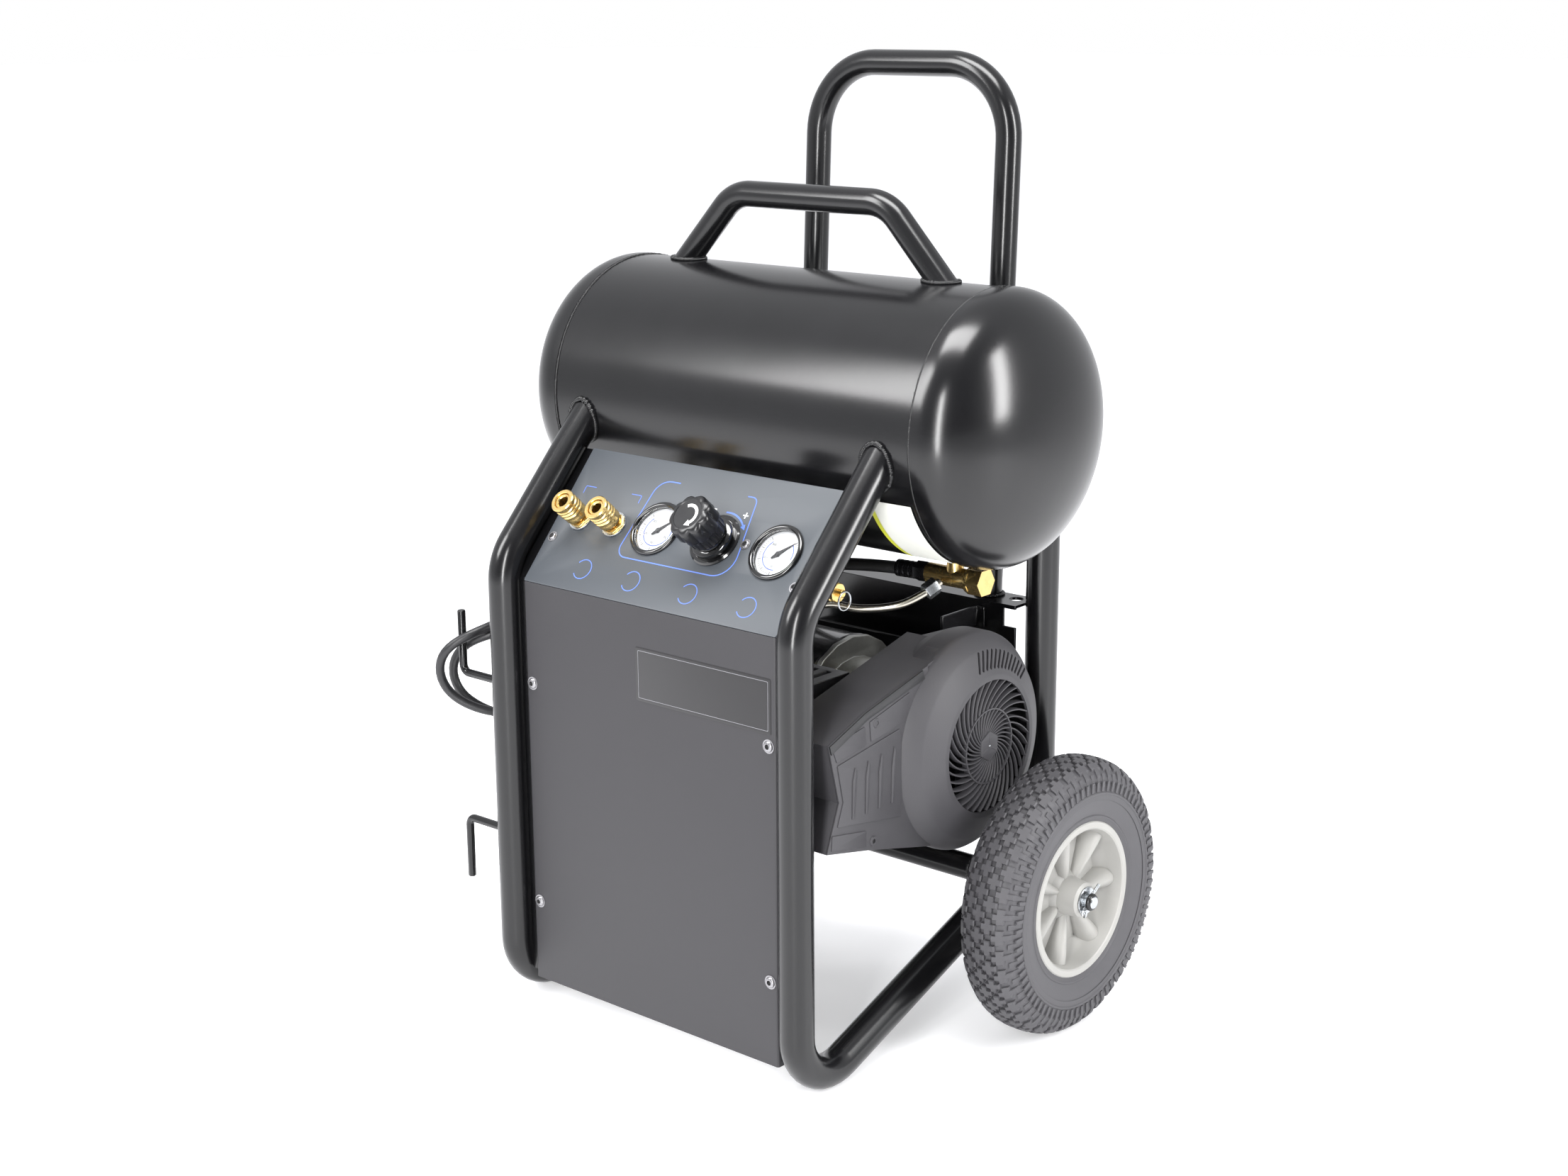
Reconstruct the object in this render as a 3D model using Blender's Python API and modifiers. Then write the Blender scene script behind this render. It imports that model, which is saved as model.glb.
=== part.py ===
"""A portable air compressor on a two-wheeled tube frame, stood upright in its storage position.

X runs along the tank, the front cover faces -Y, and +Z is up. Lengths are in metres. Everything is
placed from the front tubes' centreline, where y is 0; one empty then moves the whole object, so that
the world origin lies on the floor under the middle of its outline.
"""

import math

import bmesh
import bpy
from mathutils import Matrix, Vector

# Frame tubes
TUBE_R = 0.0159
SIDE_X = 0.1812
CORNER_Z = 0.4416
SLOPE_ANGLE = math.radians(47.3)
LEG_ANGLE = math.radians(20.9)
REAR_Y = 0.3662
REAR_TOP_Z = 0.600
FOOT_BEND_R = 0.046
BEND_R = 0.055
HANDLE_R = 0.0125

# Wheels and axle
WHEEL_R = 0.1335
WHEEL_X = 0.2648
TYRE_HALF = 0.0313
RIM_R = 0.0724
AXLE_Y = 0.2855
AXLE_R = 0.0063
AXLE_TUBE_R = 0.0127
AXLE_HALF = 0.3035

# Tank
TANK_Y, TANK_Z = 0.2338, 0.5815
TANK_R = 0.127
TANK_HALF = 0.2248
HEAD_DEPTH = 0.0656
TANK_WALL = 0.0025

# Front cover and sloping control panel
COVER_HALF = 0.1575
COVER_Y = 0.0019
COVER_BOTTOM, FOLD_Z = 0.0249, 0.4257
PANEL_TOP_Y, PANEL_TOP_Z = 0.0988, 0.538
SHEET = 0.0015
PANEL_SHEET = 0.002
CONTROL_S = 0.078
COUPLER_S = 0.074
GAUGE_X = {"outlet": -0.0313, "tank": 0.1147}
KNOB_X = 0.042
COUPLER_X = {"left": -0.1265, "right": -0.0825}
GAUGE_R = 0.0258
MANIFOLD_DEPTH = 0.062
MANIFOLD_R = 0.011

# Back plate
PLATE_Y = 0.345
PLATE_HALF = 0.1645
PLATE_Z = (0.165, 0.385)
FLANGE_DEPTH = 0.039
PLATE_SHEET = 0.003

# Pump
PUMP_Y, PUMP_Z = 0.2375, 0.281
MOTOR_R = 0.077
CYLINDER_X = 0.0805
BORE_R = 0.0245
STROKE = 0.024
RIM_OUT_R = 0.105
GRILLE_R = 0.065
GRILLE_X = 0.215

# Power cord
CORD_R = 0.0045
HOOK_R = 0.004

GAP = 0.0003
FRONT_Y = -(AXLE_Y + WHEEL_R - TUBE_R) / 2

UP = Vector((0, 0, 1))
ALONG_X = Vector((1, 0, 0))
SLOPE = Vector((0, PANEL_TOP_Y - COVER_Y, PANEL_TOP_Z - FOLD_Z)).normalized()
OUT = Vector((0, -SLOPE.z, SLOPE.y))

for old in list(bpy.data.objects):
    bpy.data.objects.remove(old, do_unlink=True)

parts = bpy.data.collections.new("air_compressor")
cutters = bpy.data.collections.new("cutters")
bpy.context.scene.collection.children.link(parts)
bpy.context.scene.collection.children.link(cutters)
datum = bpy.data.objects.new("front_tube_line", None)
datum.location = (0, FRONT_Y, 0)
parts.objects.link(datum)


def material(name, colour, roughness, metallic=0.0):
    made = bpy.data.materials.new(name)
    made.use_nodes = True
    shader = made.node_tree.nodes["Principled BSDF"]
    shader.inputs["Base Color"].default_value = (*colour, 1)
    shader.inputs["Roughness"].default_value = roughness
    shader.inputs["Metallic"].default_value = metallic
    return made


BLACK = material("black_powder_coat", (0.012, 0.012, 0.013), 0.30)
CHARCOAL = material("charcoal_sheet", (0.06, 0.057, 0.062), 0.55)
PANEL = material("panel_overlay", (0.085, 0.09, 0.10), 0.5)
BRASS = material("brass", (0.72, 0.48, 0.16), 0.3, 1.0)
STEEL = material("bright_steel", (0.6, 0.6, 0.58), 0.3, 1.0)
ALLOY = material("cast_aluminium", (0.45, 0.45, 0.44), 0.5, 1.0)
PLASTIC = material("dark_plastic", (0.035, 0.035, 0.038), 0.6)
KNOB = material("gloss_plastic", (0.01, 0.01, 0.01), 0.25)
TYRE = material("tyre_rubber", (0.03, 0.03, 0.032), 0.8)
RUBBER = material("black_rubber", (0.015, 0.015, 0.015), 0.7)
HUB = material("hub_plastic", (0.38, 0.38, 0.37), 0.5)
RED = material("lever_plastic", (0.4, 0.02, 0.02), 0.4)


def add(name, data, finish, place=None, group=parts):
    """Puts new data in the scene as an object of its own, under the datum."""
    made = bpy.data.objects.new(name, data)
    if finish:
        data.materials.append(finish)
    made.parent = datum
    made.matrix_local = place or Matrix()
    group.objects.link(made)
    return made


def facing(point, direction, across=ALONG_X):
    """A placement whose Z runs along the direction and whose X stays near across."""
    z = Vector(direction).normalized()
    y = z.cross(Vector(across)).normalized()
    x = y.cross(z)
    turn = Matrix((x, y, z)).transposed().to_4x4()
    return Matrix.Translation(Vector(point)) @ turn


def shaded(data, angle=35):
    data.shade_smooth()
    data.set_sharp_from_angle(angle=math.radians(angle))


def box(name, low, high, finish, group=parts):
    low, high = Vector(low), Vector(high)
    shape = bmesh.new()
    bmesh.ops.create_cube(shape, size=1)
    bmesh.ops.scale(shape, vec=high - low, verts=shape.verts)
    data = bpy.data.meshes.new(name)
    shape.to_mesh(data)
    shape.free()
    return add(name, data, finish, Matrix.Translation((low + high) / 2), group)


def rod(name, start, end, radius, finish, sides=24, tip_radius=None, group=parts):
    """A round bar between two points, or a cone where the tip has its own radius."""
    start, end = Vector(start), Vector(end)
    shape = bmesh.new()
    bmesh.ops.create_cone(
        shape,
        cap_ends=True,
        segments=sides,
        radius1=radius,
        radius2=radius if tip_radius is None else tip_radius,
        depth=(end - start).length,
    )
    data = bpy.data.meshes.new(name)
    shape.to_mesh(data)
    shape.free()
    shaded(data)
    axis = (end - start).normalized()
    across = ALONG_X if abs(axis.x) < 0.9 else UP
    return add(name, data, finish, facing((start + end) / 2, axis, across), group)


def turned(name, profile, point, direction, finish, steps=32, hollow=False, group=parts):
    """A profile of (radius, height) pairs, top to bottom on its outer side, turned about its height.

    A hollow profile is a closed loop; any other begins and ends on the axis.
    """
    data = bpy.data.meshes.new(name)
    edges = [(i, i + 1) for i in range(len(profile) - 1)]
    if hollow:
        edges.append((len(profile) - 1, 0))
    data.from_pydata([(r, 0, h) for r, h in profile], edges, [])
    axis = Vector(direction).normalized()
    across = ALONG_X if abs(axis.x) < 0.9 else UP
    made = add(name, data, finish, facing(point, axis, across), group)
    screw = made.modifiers.new("turn", "SCREW")
    screw.steps = screw.render_steps = steps
    screw.use_merge_vertices = True
    screw.merge_threshold = 0.00001
    screw.use_smooth_shade = True
    return made


def rounded(corners, radii, steps=6):
    """A path of straight runs with each inner corner replaced by an arc of its radius."""
    corners = [Vector(c) for c in corners]
    path = [corners[0]]
    for before, corner, after, radius in zip(corners, corners[1:], corners[2:], radii):
        a, b = (before - corner).normalized(), (after - corner).normalized()
        half = a.angle(b) / 2
        centre = corner + (a + b).normalized() * radius / math.sin(half)
        first = corner + a * radius / math.tan(half) - centre
        last = corner + b * radius / math.tan(half) - centre
        sweep = first.angle(last)
        for i in range(steps + 1):
            t = i / steps
            near = first * math.sin((1 - t) * sweep) + last * math.sin(t * sweep)
            path.append(centre + near / math.sin(sweep))
    return path + [corners[-1]]


def smooth_through(points, spacing):
    """Points about one spacing apart on a smooth curve through the route's own points."""
    points = [Vector(p) for p in points]
    ends = [2 * points[0] - points[1]] + points + [2 * points[-1] - points[-2]]
    path = [points[0]]
    for a, b, c, d in zip(ends, ends[1:], ends[2:], ends[3:]):
        count = max(1, round((c - b).length / spacing))
        for i in range(1, count + 1):
            t = i / count
            path.append(
                0.5
                * (
                    2 * b
                    + (c - a) * t
                    + (2 * a - 5 * b + 4 * c - d) * t**2
                    + (3 * b - a - 3 * c + d) * t**3
                )
            )
    return path


def tube(name, path, radius, finish, resolution=4, closed=False):
    """A round tube or wire along a path."""
    data = bpy.data.curves.new(name, "CURVE")
    data.dimensions = "3D"
    data.bevel_depth = radius
    data.bevel_resolution = resolution
    data.use_fill_caps = not closed
    line = data.splines.new("POLY")
    line.points.add(len(path) - 1)
    for knot, point in zip(line.points, path):
        knot.co = (*point, 1)
    line.use_cyclic_u = closed
    line.use_smooth = True
    return add(name, data, finish)


def circle(radius, centre=(0, 0), sides=24):
    return [
        (centre[0] + radius * math.cos(a), centre[1] + radius * math.sin(a))
        for a in (2 * math.pi * i / sides for i in range(sides))
    ]


def flat(name, outlines, thickness, finish, place, group=parts):
    """A flat piece: the first outline is its edge and the others are its holes."""
    data = bpy.data.curves.new(name, "CURVE")
    data.dimensions = "2D"
    data.fill_mode = "BOTH"
    data.extrude = thickness / 2
    for outline in outlines:
        line = data.splines.new("POLY")
        line.points.add(len(outline) - 1)
        for knot, (x, y) in zip(line.points, outline):
            knot.co = (x, y, 0, 1)
        line.use_cyclic_u = True
    return add(name, data, finish, place, group)


def as_mesh(curve):
    """The same piece as a mesh, which a Boolean can cut or cut with."""
    bpy.context.view_layer.update()
    seen = curve.evaluated_get(bpy.context.evaluated_depsgraph_get())
    data = bpy.data.meshes.new_from_object(seen)
    shape = bmesh.new()
    shape.from_mesh(data)
    bmesh.ops.remove_doubles(shape, verts=shape.verts, dist=0.00001)
    shape.to_mesh(data)
    shape.free()
    name, place, group = curve.name, curve.matrix_local.copy(), curve.users_collection[0]
    bpy.data.objects.remove(curve, do_unlink=True)
    return add(name, data, None, place, group)


def boolean(target, tool, operation):
    """Cuts or joins with a hidden tool, which moves to the cutters' collection."""
    if tool.name not in cutters.objects:
        parts.objects.unlink(tool)
        cutters.objects.link(tool)
    tool.hide_render = True
    tool.display_type = "WIRE"
    step = target.modifiers.new(tool.name, "BOOLEAN")
    step.operation = operation
    step.solver = "EXACT"
    step.object = tool


def cut(target, tool):
    boolean(target, tool, "DIFFERENCE")


def join(target, tool):
    boolean(target, tool, "UNION")


def on_panel(x, along, out=0.0):
    """A point on the control panel's outer face, or that far out from it."""
    return Vector((x, COVER_Y, FOLD_Z)) + SLOPE * along + OUT * out


# ---------------------------------------------------------------- tank
def make_tank():
    """A rolled shell, whose axis runs along X, and two dished heads welded to it."""
    half = TANK_HALF - GAP
    turned(
        "tank_shell",
        [
            (TANK_R, half),
            (TANK_R, -half),
            (TANK_R - TANK_WALL, -half),
            (TANK_R - TANK_WALL, half),
        ],
        (0, TANK_Y, TANK_Z),
        ALONG_X,
        BLACK,
        steps=48,
        hollow=True,
    )
    rings = 4
    outer = [
        (TANK_R * math.cos(a), HEAD_DEPTH * math.sin(a))
        for a in (math.pi / 2 * (1 - i / rings) for i in range(rings + 1))
    ]
    shrink = 1 - TANK_WALL / TANK_R
    inner = [(r * shrink, h * shrink) for r, h in reversed(outer)]
    outer[0], inner[-1] = (0, HEAD_DEPTH), (0, HEAD_DEPTH * shrink)
    for side, name in ((-1, "tank_head_left"), (1, "tank_head_right")):
        turned(
            name,
            outer + inner,
            (side * TANK_HALF, TANK_Y, TANK_Z),
            ALONG_X * side,
            BLACK,
            steps=28,
        )


def tank_cutter():
    reach = TANK_HALF - 0.01
    return rod(
        "tank_cutter",
        (-reach, TANK_Y, TANK_Z),
        (reach, TANK_Y, TANK_Z),
        TANK_R + 0.0008,
        None,
        48,
        group=cutters,
    )


# ---------------------------------------------------------------- frame
def leg_line(y):
    """The height of the rear legs' centreline."""
    bend = math.tan(LEG_ANGLE) + 1 / math.cos(LEG_ANGLE) - 1
    return TUBE_R - FOOT_BEND_R * bend + y * math.tan(LEG_ANGLE)


def make_frame(tank):
    """Each side is one bent tube, from the tank's front, round under the pump, to its back."""
    saddle = rod(
        "axle_tube_cutter",
        (-AXLE_HALF, AXLE_Y, WHEEL_R),
        (AXLE_HALF, AXLE_Y, WHEEL_R),
        AXLE_TUBE_R + 0.0006,
        None,
        group=cutters,
    )
    run = 0.172
    for side, name in ((-1, "side_frame_left"), (1, "side_frame_right")):
        x = side * SIDE_X
        corners = [
            (x, run * math.cos(SLOPE_ANGLE), CORNER_Z + run * math.sin(SLOPE_ANGLE)),
            (x, 0, CORNER_Z),
            (x, 0, leg_line(0)),
            (x, REAR_Y, leg_line(REAR_Y)),
            (x, REAR_Y, REAR_TOP_Z),
        ]
        bent = as_mesh(tube(name, rounded(corners, [BEND_R, FOOT_BEND_R, BEND_R]), TUBE_R, BLACK))
        cut(bent, tank)
        cut(bent, saddle)

    foot_x, corner_x, grip_z = 0.1660, 0.093, 0.7744
    grip = [(-foot_x, 0.697), (-corner_x, grip_z), (corner_x, grip_z), (foot_x, 0.697)]
    path = rounded([(x, TANK_Y, z) for x, z in grip], [0.045, 0.045])
    cut(as_mesh(tube("carry_handle", path, HANDLE_R, BLACK, 3)), tank)

    lean, pull_x, pull_z = 0.044, 0.117, 0.8933
    foot_z = PLATE_Z[1] + 0.0012
    low_y, high_y = 0.382 + lean * (foot_z - 0.7), 0.382 + lean * (pull_z - 0.7)
    loop = [
        (-pull_x, low_y, foot_z),
        (-pull_x, high_y, pull_z),
        (pull_x, high_y, pull_z),
        (pull_x, low_y, foot_z),
    ]
    tube("pull_handle", rounded(loop, [0.07, 0.07]), HANDLE_R, BLACK, 3)

    for side, name in ((-1, "rest_foot_left"), (1, "rest_foot_right")):
        back = REAR_Y + TUBE_R + GAP
        rod(
            name,
            (side * SIDE_X, back, 0.565),
            (side * SIDE_X, AXLE_Y + WHEEL_R, 0.565),
            0.015,
            RUBBER,
            16,
            0.013,
        )


def make_back_plate():
    """The pressed plate that carries the pump, with a flange folded back along its top."""
    y, (low, high), t = PLATE_Y, PLATE_Z, PLATE_SHEET
    section = [
        (y, low),
        (y + t, low),
        (y + t, high - t),
        (y + FLANGE_DEPTH, high - t),
        (y + FLANGE_DEPTH, high),
        (y, high),
    ]
    across = Matrix(((0, 0, 1), (1, 0, 0), (0, 1, 0))).to_4x4()
    plate = as_mesh(flat("back_plate", [section], 2 * PLATE_HALF, BLACK, across))
    for side in (-1, 1):
        edge = side * (PLATE_HALF + 0.004)
        inner = side * (PLATE_HALF - 0.014)
        notch = box(
            f"notch_cutter_{side}",
            (min(edge, inner), y - 0.01, high - 0.022),
            (max(edge, inner), y + 0.01, high - t - 0.001),
            None,
            cutters,
        )
        cut(plate, notch)
        eye = (side * 0.149, y + 0.024, high)
        below, above = Vector(eye) - UP * 0.01, Vector(eye) + UP * 0.01
        cut(plate, rod(f"eye_cutter_{side}", below, above, 0.007, None, 16, group=cutters))

    x, front, tab = 0.118, 0.2875, 0.130
    angle = [
        (x, front),
        (x + t, front),
        (x + t, y - GAP - t),
        (tab, y - GAP - t),
        (tab, y - GAP),
        (x, y - GAP),
    ]
    bottom, top = 0.358, 0.379
    place = Matrix.Translation((0, 0, (bottom + top) / 2))
    flat("plate_gusset", [angle], top - bottom, BLACK, place)


def make_axle():
    """The cross tube on the rear legs, and the axle through it."""
    half = 0.2
    bore = AXLE_R + GAP
    turned(
        "axle_tube",
        [(AXLE_TUBE_R, half), (AXLE_TUBE_R, -half), (bore, -half), (bore, half)],
        (0, AXLE_Y, WHEEL_R),
        ALONG_X,
        BLACK,
        steps=20,
        hollow=True,
    )
    rod("axle", (-AXLE_HALF, AXLE_Y, WHEEL_R), (AXLE_HALF, AXLE_Y, WHEEL_R), AXLE_R, STEEL, 16)


def make_wheels():
    """A plastic hub with a bead seat, and a tyre whose air space is open to the hub."""
    boss_r, boss_half, web = 0.016, 0.0285, 0.004
    well_r, seat_half = RIM_R - 0.006, 0.024
    hub_outline = [
        (AXLE_R + GAP, boss_half),
        (boss_r, boss_half),
        (boss_r + 0.003, web),
        (well_r, web),
        (well_r, seat_half),
        (RIM_R, seat_half),
        (RIM_R, -seat_half),
        (well_r, -seat_half),
        (well_r, -web),
        (boss_r + 0.003, -web),
        (boss_r, -boss_half),
        (AXLE_R + GAP, -boss_half),
    ]
    bead_r = RIM_R / math.cos(math.pi / 28) + GAP
    bead_half, wall = 0.0195, 0.006
    crown_half, side_r = 0.017, 0.103
    tyre_outline = [
        (bead_r, bead_half + wall),
        (side_r, TYRE_HALF),
        (0.122, 0.0285),
        (WHEEL_R, crown_half),
        (WHEEL_R, -crown_half),
        (0.122, -0.0285),
        (side_r, -TYRE_HALF),
        (bead_r, -bead_half - wall),
        (bead_r, -bead_half),
        (side_r, wall - TYRE_HALF),
        (WHEEL_R - 0.012, 0),
        (side_r, TYRE_HALF - wall),
        (bead_r, bead_half),
    ]
    windows = [
        circle(0.0125, (0.0415 * math.cos(a), 0.0415 * math.sin(a)), 8)
        for a in (2 * math.pi * i / 7 for i in range(7))
    ]
    for side, word in ((-1, "left"), (1, "right")):
        centre = (side * WHEEL_X, AXLE_Y, WHEEL_R)
        hub = turned(f"wheel_hub_{word}", hub_outline, centre, ALONG_X, HUB, 20, hollow=True)
        tool = flat(f"window_cutter_{word}", windows, 0.02, None, facing(centre, ALONG_X, UP), cutters)
        cut(hub, as_mesh(tool))
        turned(f"tyre_{word}", tyre_outline, centre, ALONG_X, TYRE, 28, hollow=True)


# ---------------------------------------------------------------- cover, panel and controls
def make_cover():
    """A folded sheet between the front tubes, with its two long edges turned back."""
    back, w, t = COVER_Y + 0.018, COVER_HALF, SHEET
    channel = [
        (-w, COVER_Y),
        (w, COVER_Y),
        (w, back),
        (w - t, back),
        (w - t, COVER_Y + t),
        (t - w, COVER_Y + t),
        (t - w, back),
        (-w, back),
    ]
    top = FOLD_Z - GAP
    place = Matrix.Translation((0, 0, (COVER_BOTTOM + top) / 2))
    flat("front_cover", [channel], top - COVER_BOTTOM, CHARCOAL, place)

    start = 0.002
    length = math.hypot(PANEL_TOP_Y - COVER_Y, PANEL_TOP_Z - FOLD_Z)
    edge = [(-w, start), (w, start), (w, length), (-w, length)]
    holes = [circle(GAUGE_R + 0.0005, (x, CONTROL_S), 20) for x in GAUGE_X.values()]
    holes.append(circle(0.0225, (KNOB_X, CONTROL_S), 20))
    holes += [circle(0.0105, (x, COUPLER_S), 12) for x in COUPLER_X.values()]
    place = facing(on_panel(0, 0, -PANEL_SHEET / 2), OUT)
    flat("control_panel", [edge] + holes, PANEL_SHEET, PANEL, place)


def make_gauges():
    """Two dial gauges pressed into the panel, each with a needle on its own spindle."""
    lip_r, dial_r, dial_h = 0.0280, 0.0232, -0.004
    case = [
        (0, dial_h),
        (dial_r, dial_h),
        (dial_r, 0.0030),
        (lip_r, 0.0030),
        (lip_r, GAP),
        (GAUGE_R, GAP),
        (GAUGE_R, -0.028),
        (0.006, -0.028),
        (0.006, -0.0505),
        (0, -0.0505),
    ]
    zero = math.radians(45)
    for word, x in GAUGE_X.items():
        turned(f"gauge_{word}", case, on_panel(x, CONTROL_S), OUT, KNOB, 20)
        tip, tail, width = 0.0185, -0.007, 0.0007
        pointer = [(tip, 0)] + [
            (0.003 * math.cos(a), 0.003 * math.sin(a)) for a in (math.radians(d) for d in (35, 90, 145))
        ]
        pointer += [(tail, width), (tail, -width)]
        pointer += [
            (0.003 * math.cos(a), 0.003 * math.sin(a)) for a in (math.radians(d) for d in (215, 270, 325))
        ]
        place = facing(on_panel(x, CONTROL_S, -0.003), OUT) @ Matrix.Rotation(zero, 4, "Z")
        flat(f"gauge_{word}_needle", [pointer], 0.0007, KNOB, place)


def make_regulator():
    """The regulator's block between the two pipes, its bonnet through the panel, and its knob."""
    body = turned(
        "regulator_body",
        [(0, 0.012), (0.0165, 0.012), (0.0215, 0.008), (0.0215, -0.052), (0, -0.052)],
        on_panel(KNOB_X, CONTROL_S),
        OUT,
        KNOB,
        20,
    )
    size = 0.0155
    block = box("regulator_block", (-0.0245, -size, -size), (0.0245, size, size), None, cutters)
    block.matrix_local = facing(on_panel(KNOB_X, CONTROL_S, -MANIFOLD_DEPTH), OUT)
    join(body, block)

    lobes, mean, wave = 9, 0.0212, 0.0009
    count = lobes * 6
    outline = [
        ((mean + wave * math.cos(lobes * a)) * math.cos(a), (mean + wave * math.cos(lobes * a)) * math.sin(a))
        for a in (2 * math.pi * i / count for i in range(count))
    ]
    low, high = 0.0125, 0.047
    place = facing(on_panel(KNOB_X, CONTROL_S, (low + high) / 2), OUT)
    flat("regulator_knob", [outline], high - low, KNOB, place)


def make_couplers():
    """Two quick couplers: a bored body screwed to the outlet pipe, and a sleeve that slides on it."""
    bore, body_r, end = 0.0052, 0.0080, 0.0315
    body = [
        (bore, end),
        (body_r, end),
        (body_r, 0.003),
        (0.0098, 0.003),
        (0.0098, -0.0505),
        (bore, -0.0505),
    ]
    inner = body_r + GAP
    sleeve = [(inner, 0.033), (0.0122, 0.033), (0.0122, 0.029), (0.0108, 0.0275)]
    for ring in range(2):
        middle = 0.0240 - 0.0055 * ring
        sleeve += [(0.0120, middle), (0.0108, middle - 0.0025)]
    sleeve += [(0.0113, 0.0085), (inner, 0.0085)]
    for word, x in COUPLER_X.items():
        centre = on_panel(x, COUPLER_S)
        turned(f"coupler_{word}_body", body, centre, OUT, BRASS, 12, hollow=True)
        turned(f"coupler_{word}_sleeve", sleeve, centre, OUT, BRASS, 14, hollow=True)


def make_pipes():
    """The pipe on each side of the regulator, and the relief valve on the tank-pressure side."""
    middle = on_panel(0, CONTROL_S, -MANIFOLD_DEPTH)
    block_half = 0.0245 + GAP
    for name, start, end in (
        ("outlet_manifold", -0.145, KNOB_X - block_half),
        ("tank_pressure_pipe", KNOB_X + block_half, 0.130),
    ):
        rod(name, (start, middle.y, middle.z), (end, middle.y, middle.z), MANIFOLD_R, BRASS, 20)
    x = 0.130 + GAP
    turned(
        "relief_valve",
        [(0, 0.022), (0.0035, 0.022), (0.0035, 0.017), (0.009, 0.017), (0.009, 0.004), (0.0075, 0), (0, 0)],
        (x, middle.y, middle.z),
        ALONG_X,
        BRASS,
        16,
    )
    ring_r, wire_r = 0.0085, 0.0008
    ring_x = x + 0.022 + wire_r + GAP
    ring = [
        (ring_x, middle.y + ring_r * math.sin(a), middle.z - ring_r + 0.002 + ring_r * math.cos(a))
        for a in (2 * math.pi * i / 14 for i in range(14))
    ]
    tube("relief_valve_ring", ring, wire_r, STEEL, 1, closed=True)


def make_pressure_switch():
    """The switch box behind the panel's left end, its lever, and the cord's strain relief."""
    low, high = Vector((-0.150, 0.072, 0.375)), Vector((-0.088, 0.140, 0.4325))
    case = box("pressure_switch", low, high, KNOB)
    bevel = case.modifiers.new("round", "BEVEL")
    bevel.width, bevel.segments = 0.004, 2
    pivot = Vector((low.x - GAP, 0.092, 0.408))
    lever = rod("switch_lever", pivot, pivot - ALONG_X * 0.006, 0.008, RED, 16)
    arm = box(
        "lever_arm",
        (pivot.x - 0.006, pivot.y - 0.024, pivot.z - 0.004),
        (pivot.x - 0.002, pivot.y, pivot.z + 0.004),
        None,
        cutters,
    )
    join(lever, arm)
    gland = Vector((low.x - GAP, 0.124, 0.394))
    rod("strain_relief", gland, gland - ALONG_X * 0.030, 0.0085, RUBBER, 12, 0.0058)


# ---------------------------------------------------------------- air lines
def make_air_lines():
    """The check valve under the tank, the tube from the pump, the hose to the switch, and the drain."""
    y, z = 0.230, 0.4385
    valve = rod("check_valve", (0.148, y, z), (0.198, y, z), 0.0095, BRASS, 16)
    join(valve, rod("valve_neck", (0.178, y, z), (0.178, y, TANK_Z - TANK_R - 0.0012), 0.008, None, 16))
    join(valve, rod("valve_cap", (0.197, y, z), (0.213, y, z), 0.0135, None, 6))
    join(valve, rod("valve_seat", (0.195, y, z), (0.199, y, z), 0.0125, None, 20))

    path = smooth_through(
        [
            (0.170, y - 0.0125, z - 0.003),
            (0.164, 0.205, 0.427),
            (0.148, 0.185, 0.416),
            (0.120, 0.165, 0.412),
            (0.095, 0.145, 0.416),
            (0.085, 0.118, 0.408),
            (0.095, 0.098, 0.385),
            (0.112, 0.083, 0.362),
            (0.116, 0.0785, 0.350),
            (0.116, 0.0785, 0.3405),
        ],
        0.016,
    )
    tube("discharge_tube", path, 0.0036, STEEL, 1)

    path = smooth_through(
        [
            (0.148 - GAP, y, z),
            (0.120, y, z - 0.001),
            (0.080, y, z - 0.004),
            (0.040, y - 0.004, z - 0.008),
            (0.000, y - 0.018, z - 0.012),
            (-0.028, 0.184, z - 0.015),
            (-0.044, 0.150, z - 0.017),
            (-0.057, 0.122, z - 0.019),
            (-0.073, 0.1065, z - 0.020),
            (-0.080, 0.1060, z - 0.020),
            (-0.0874, 0.106, z - 0.020),
        ],
        0.020,
    )
    tube("tank_hose", path, 0.006, RUBBER, 2)

    back = TANK_Y + TANK_R + 0.0006
    turned(
        "drain_valve",
        [(0, 0.016), (0.006, 0.016), (0.006, 0.006), (0.009, 0.006), (0.009, 0), (0, 0)],
        (0, back, TANK_Z),
        (0, 1, 0),
        BRASS,
        16,
    )
    wing = [(-0.013, -0.003), (0.013, -0.003), (0.013, 0.003), (-0.013, 0.003)]
    place = facing((0, back + 0.016 + GAP + 0.005, TANK_Z), (0, 1, 0))
    flat("drain_valve_key", [wing], 0.010, BRASS, place)


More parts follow.
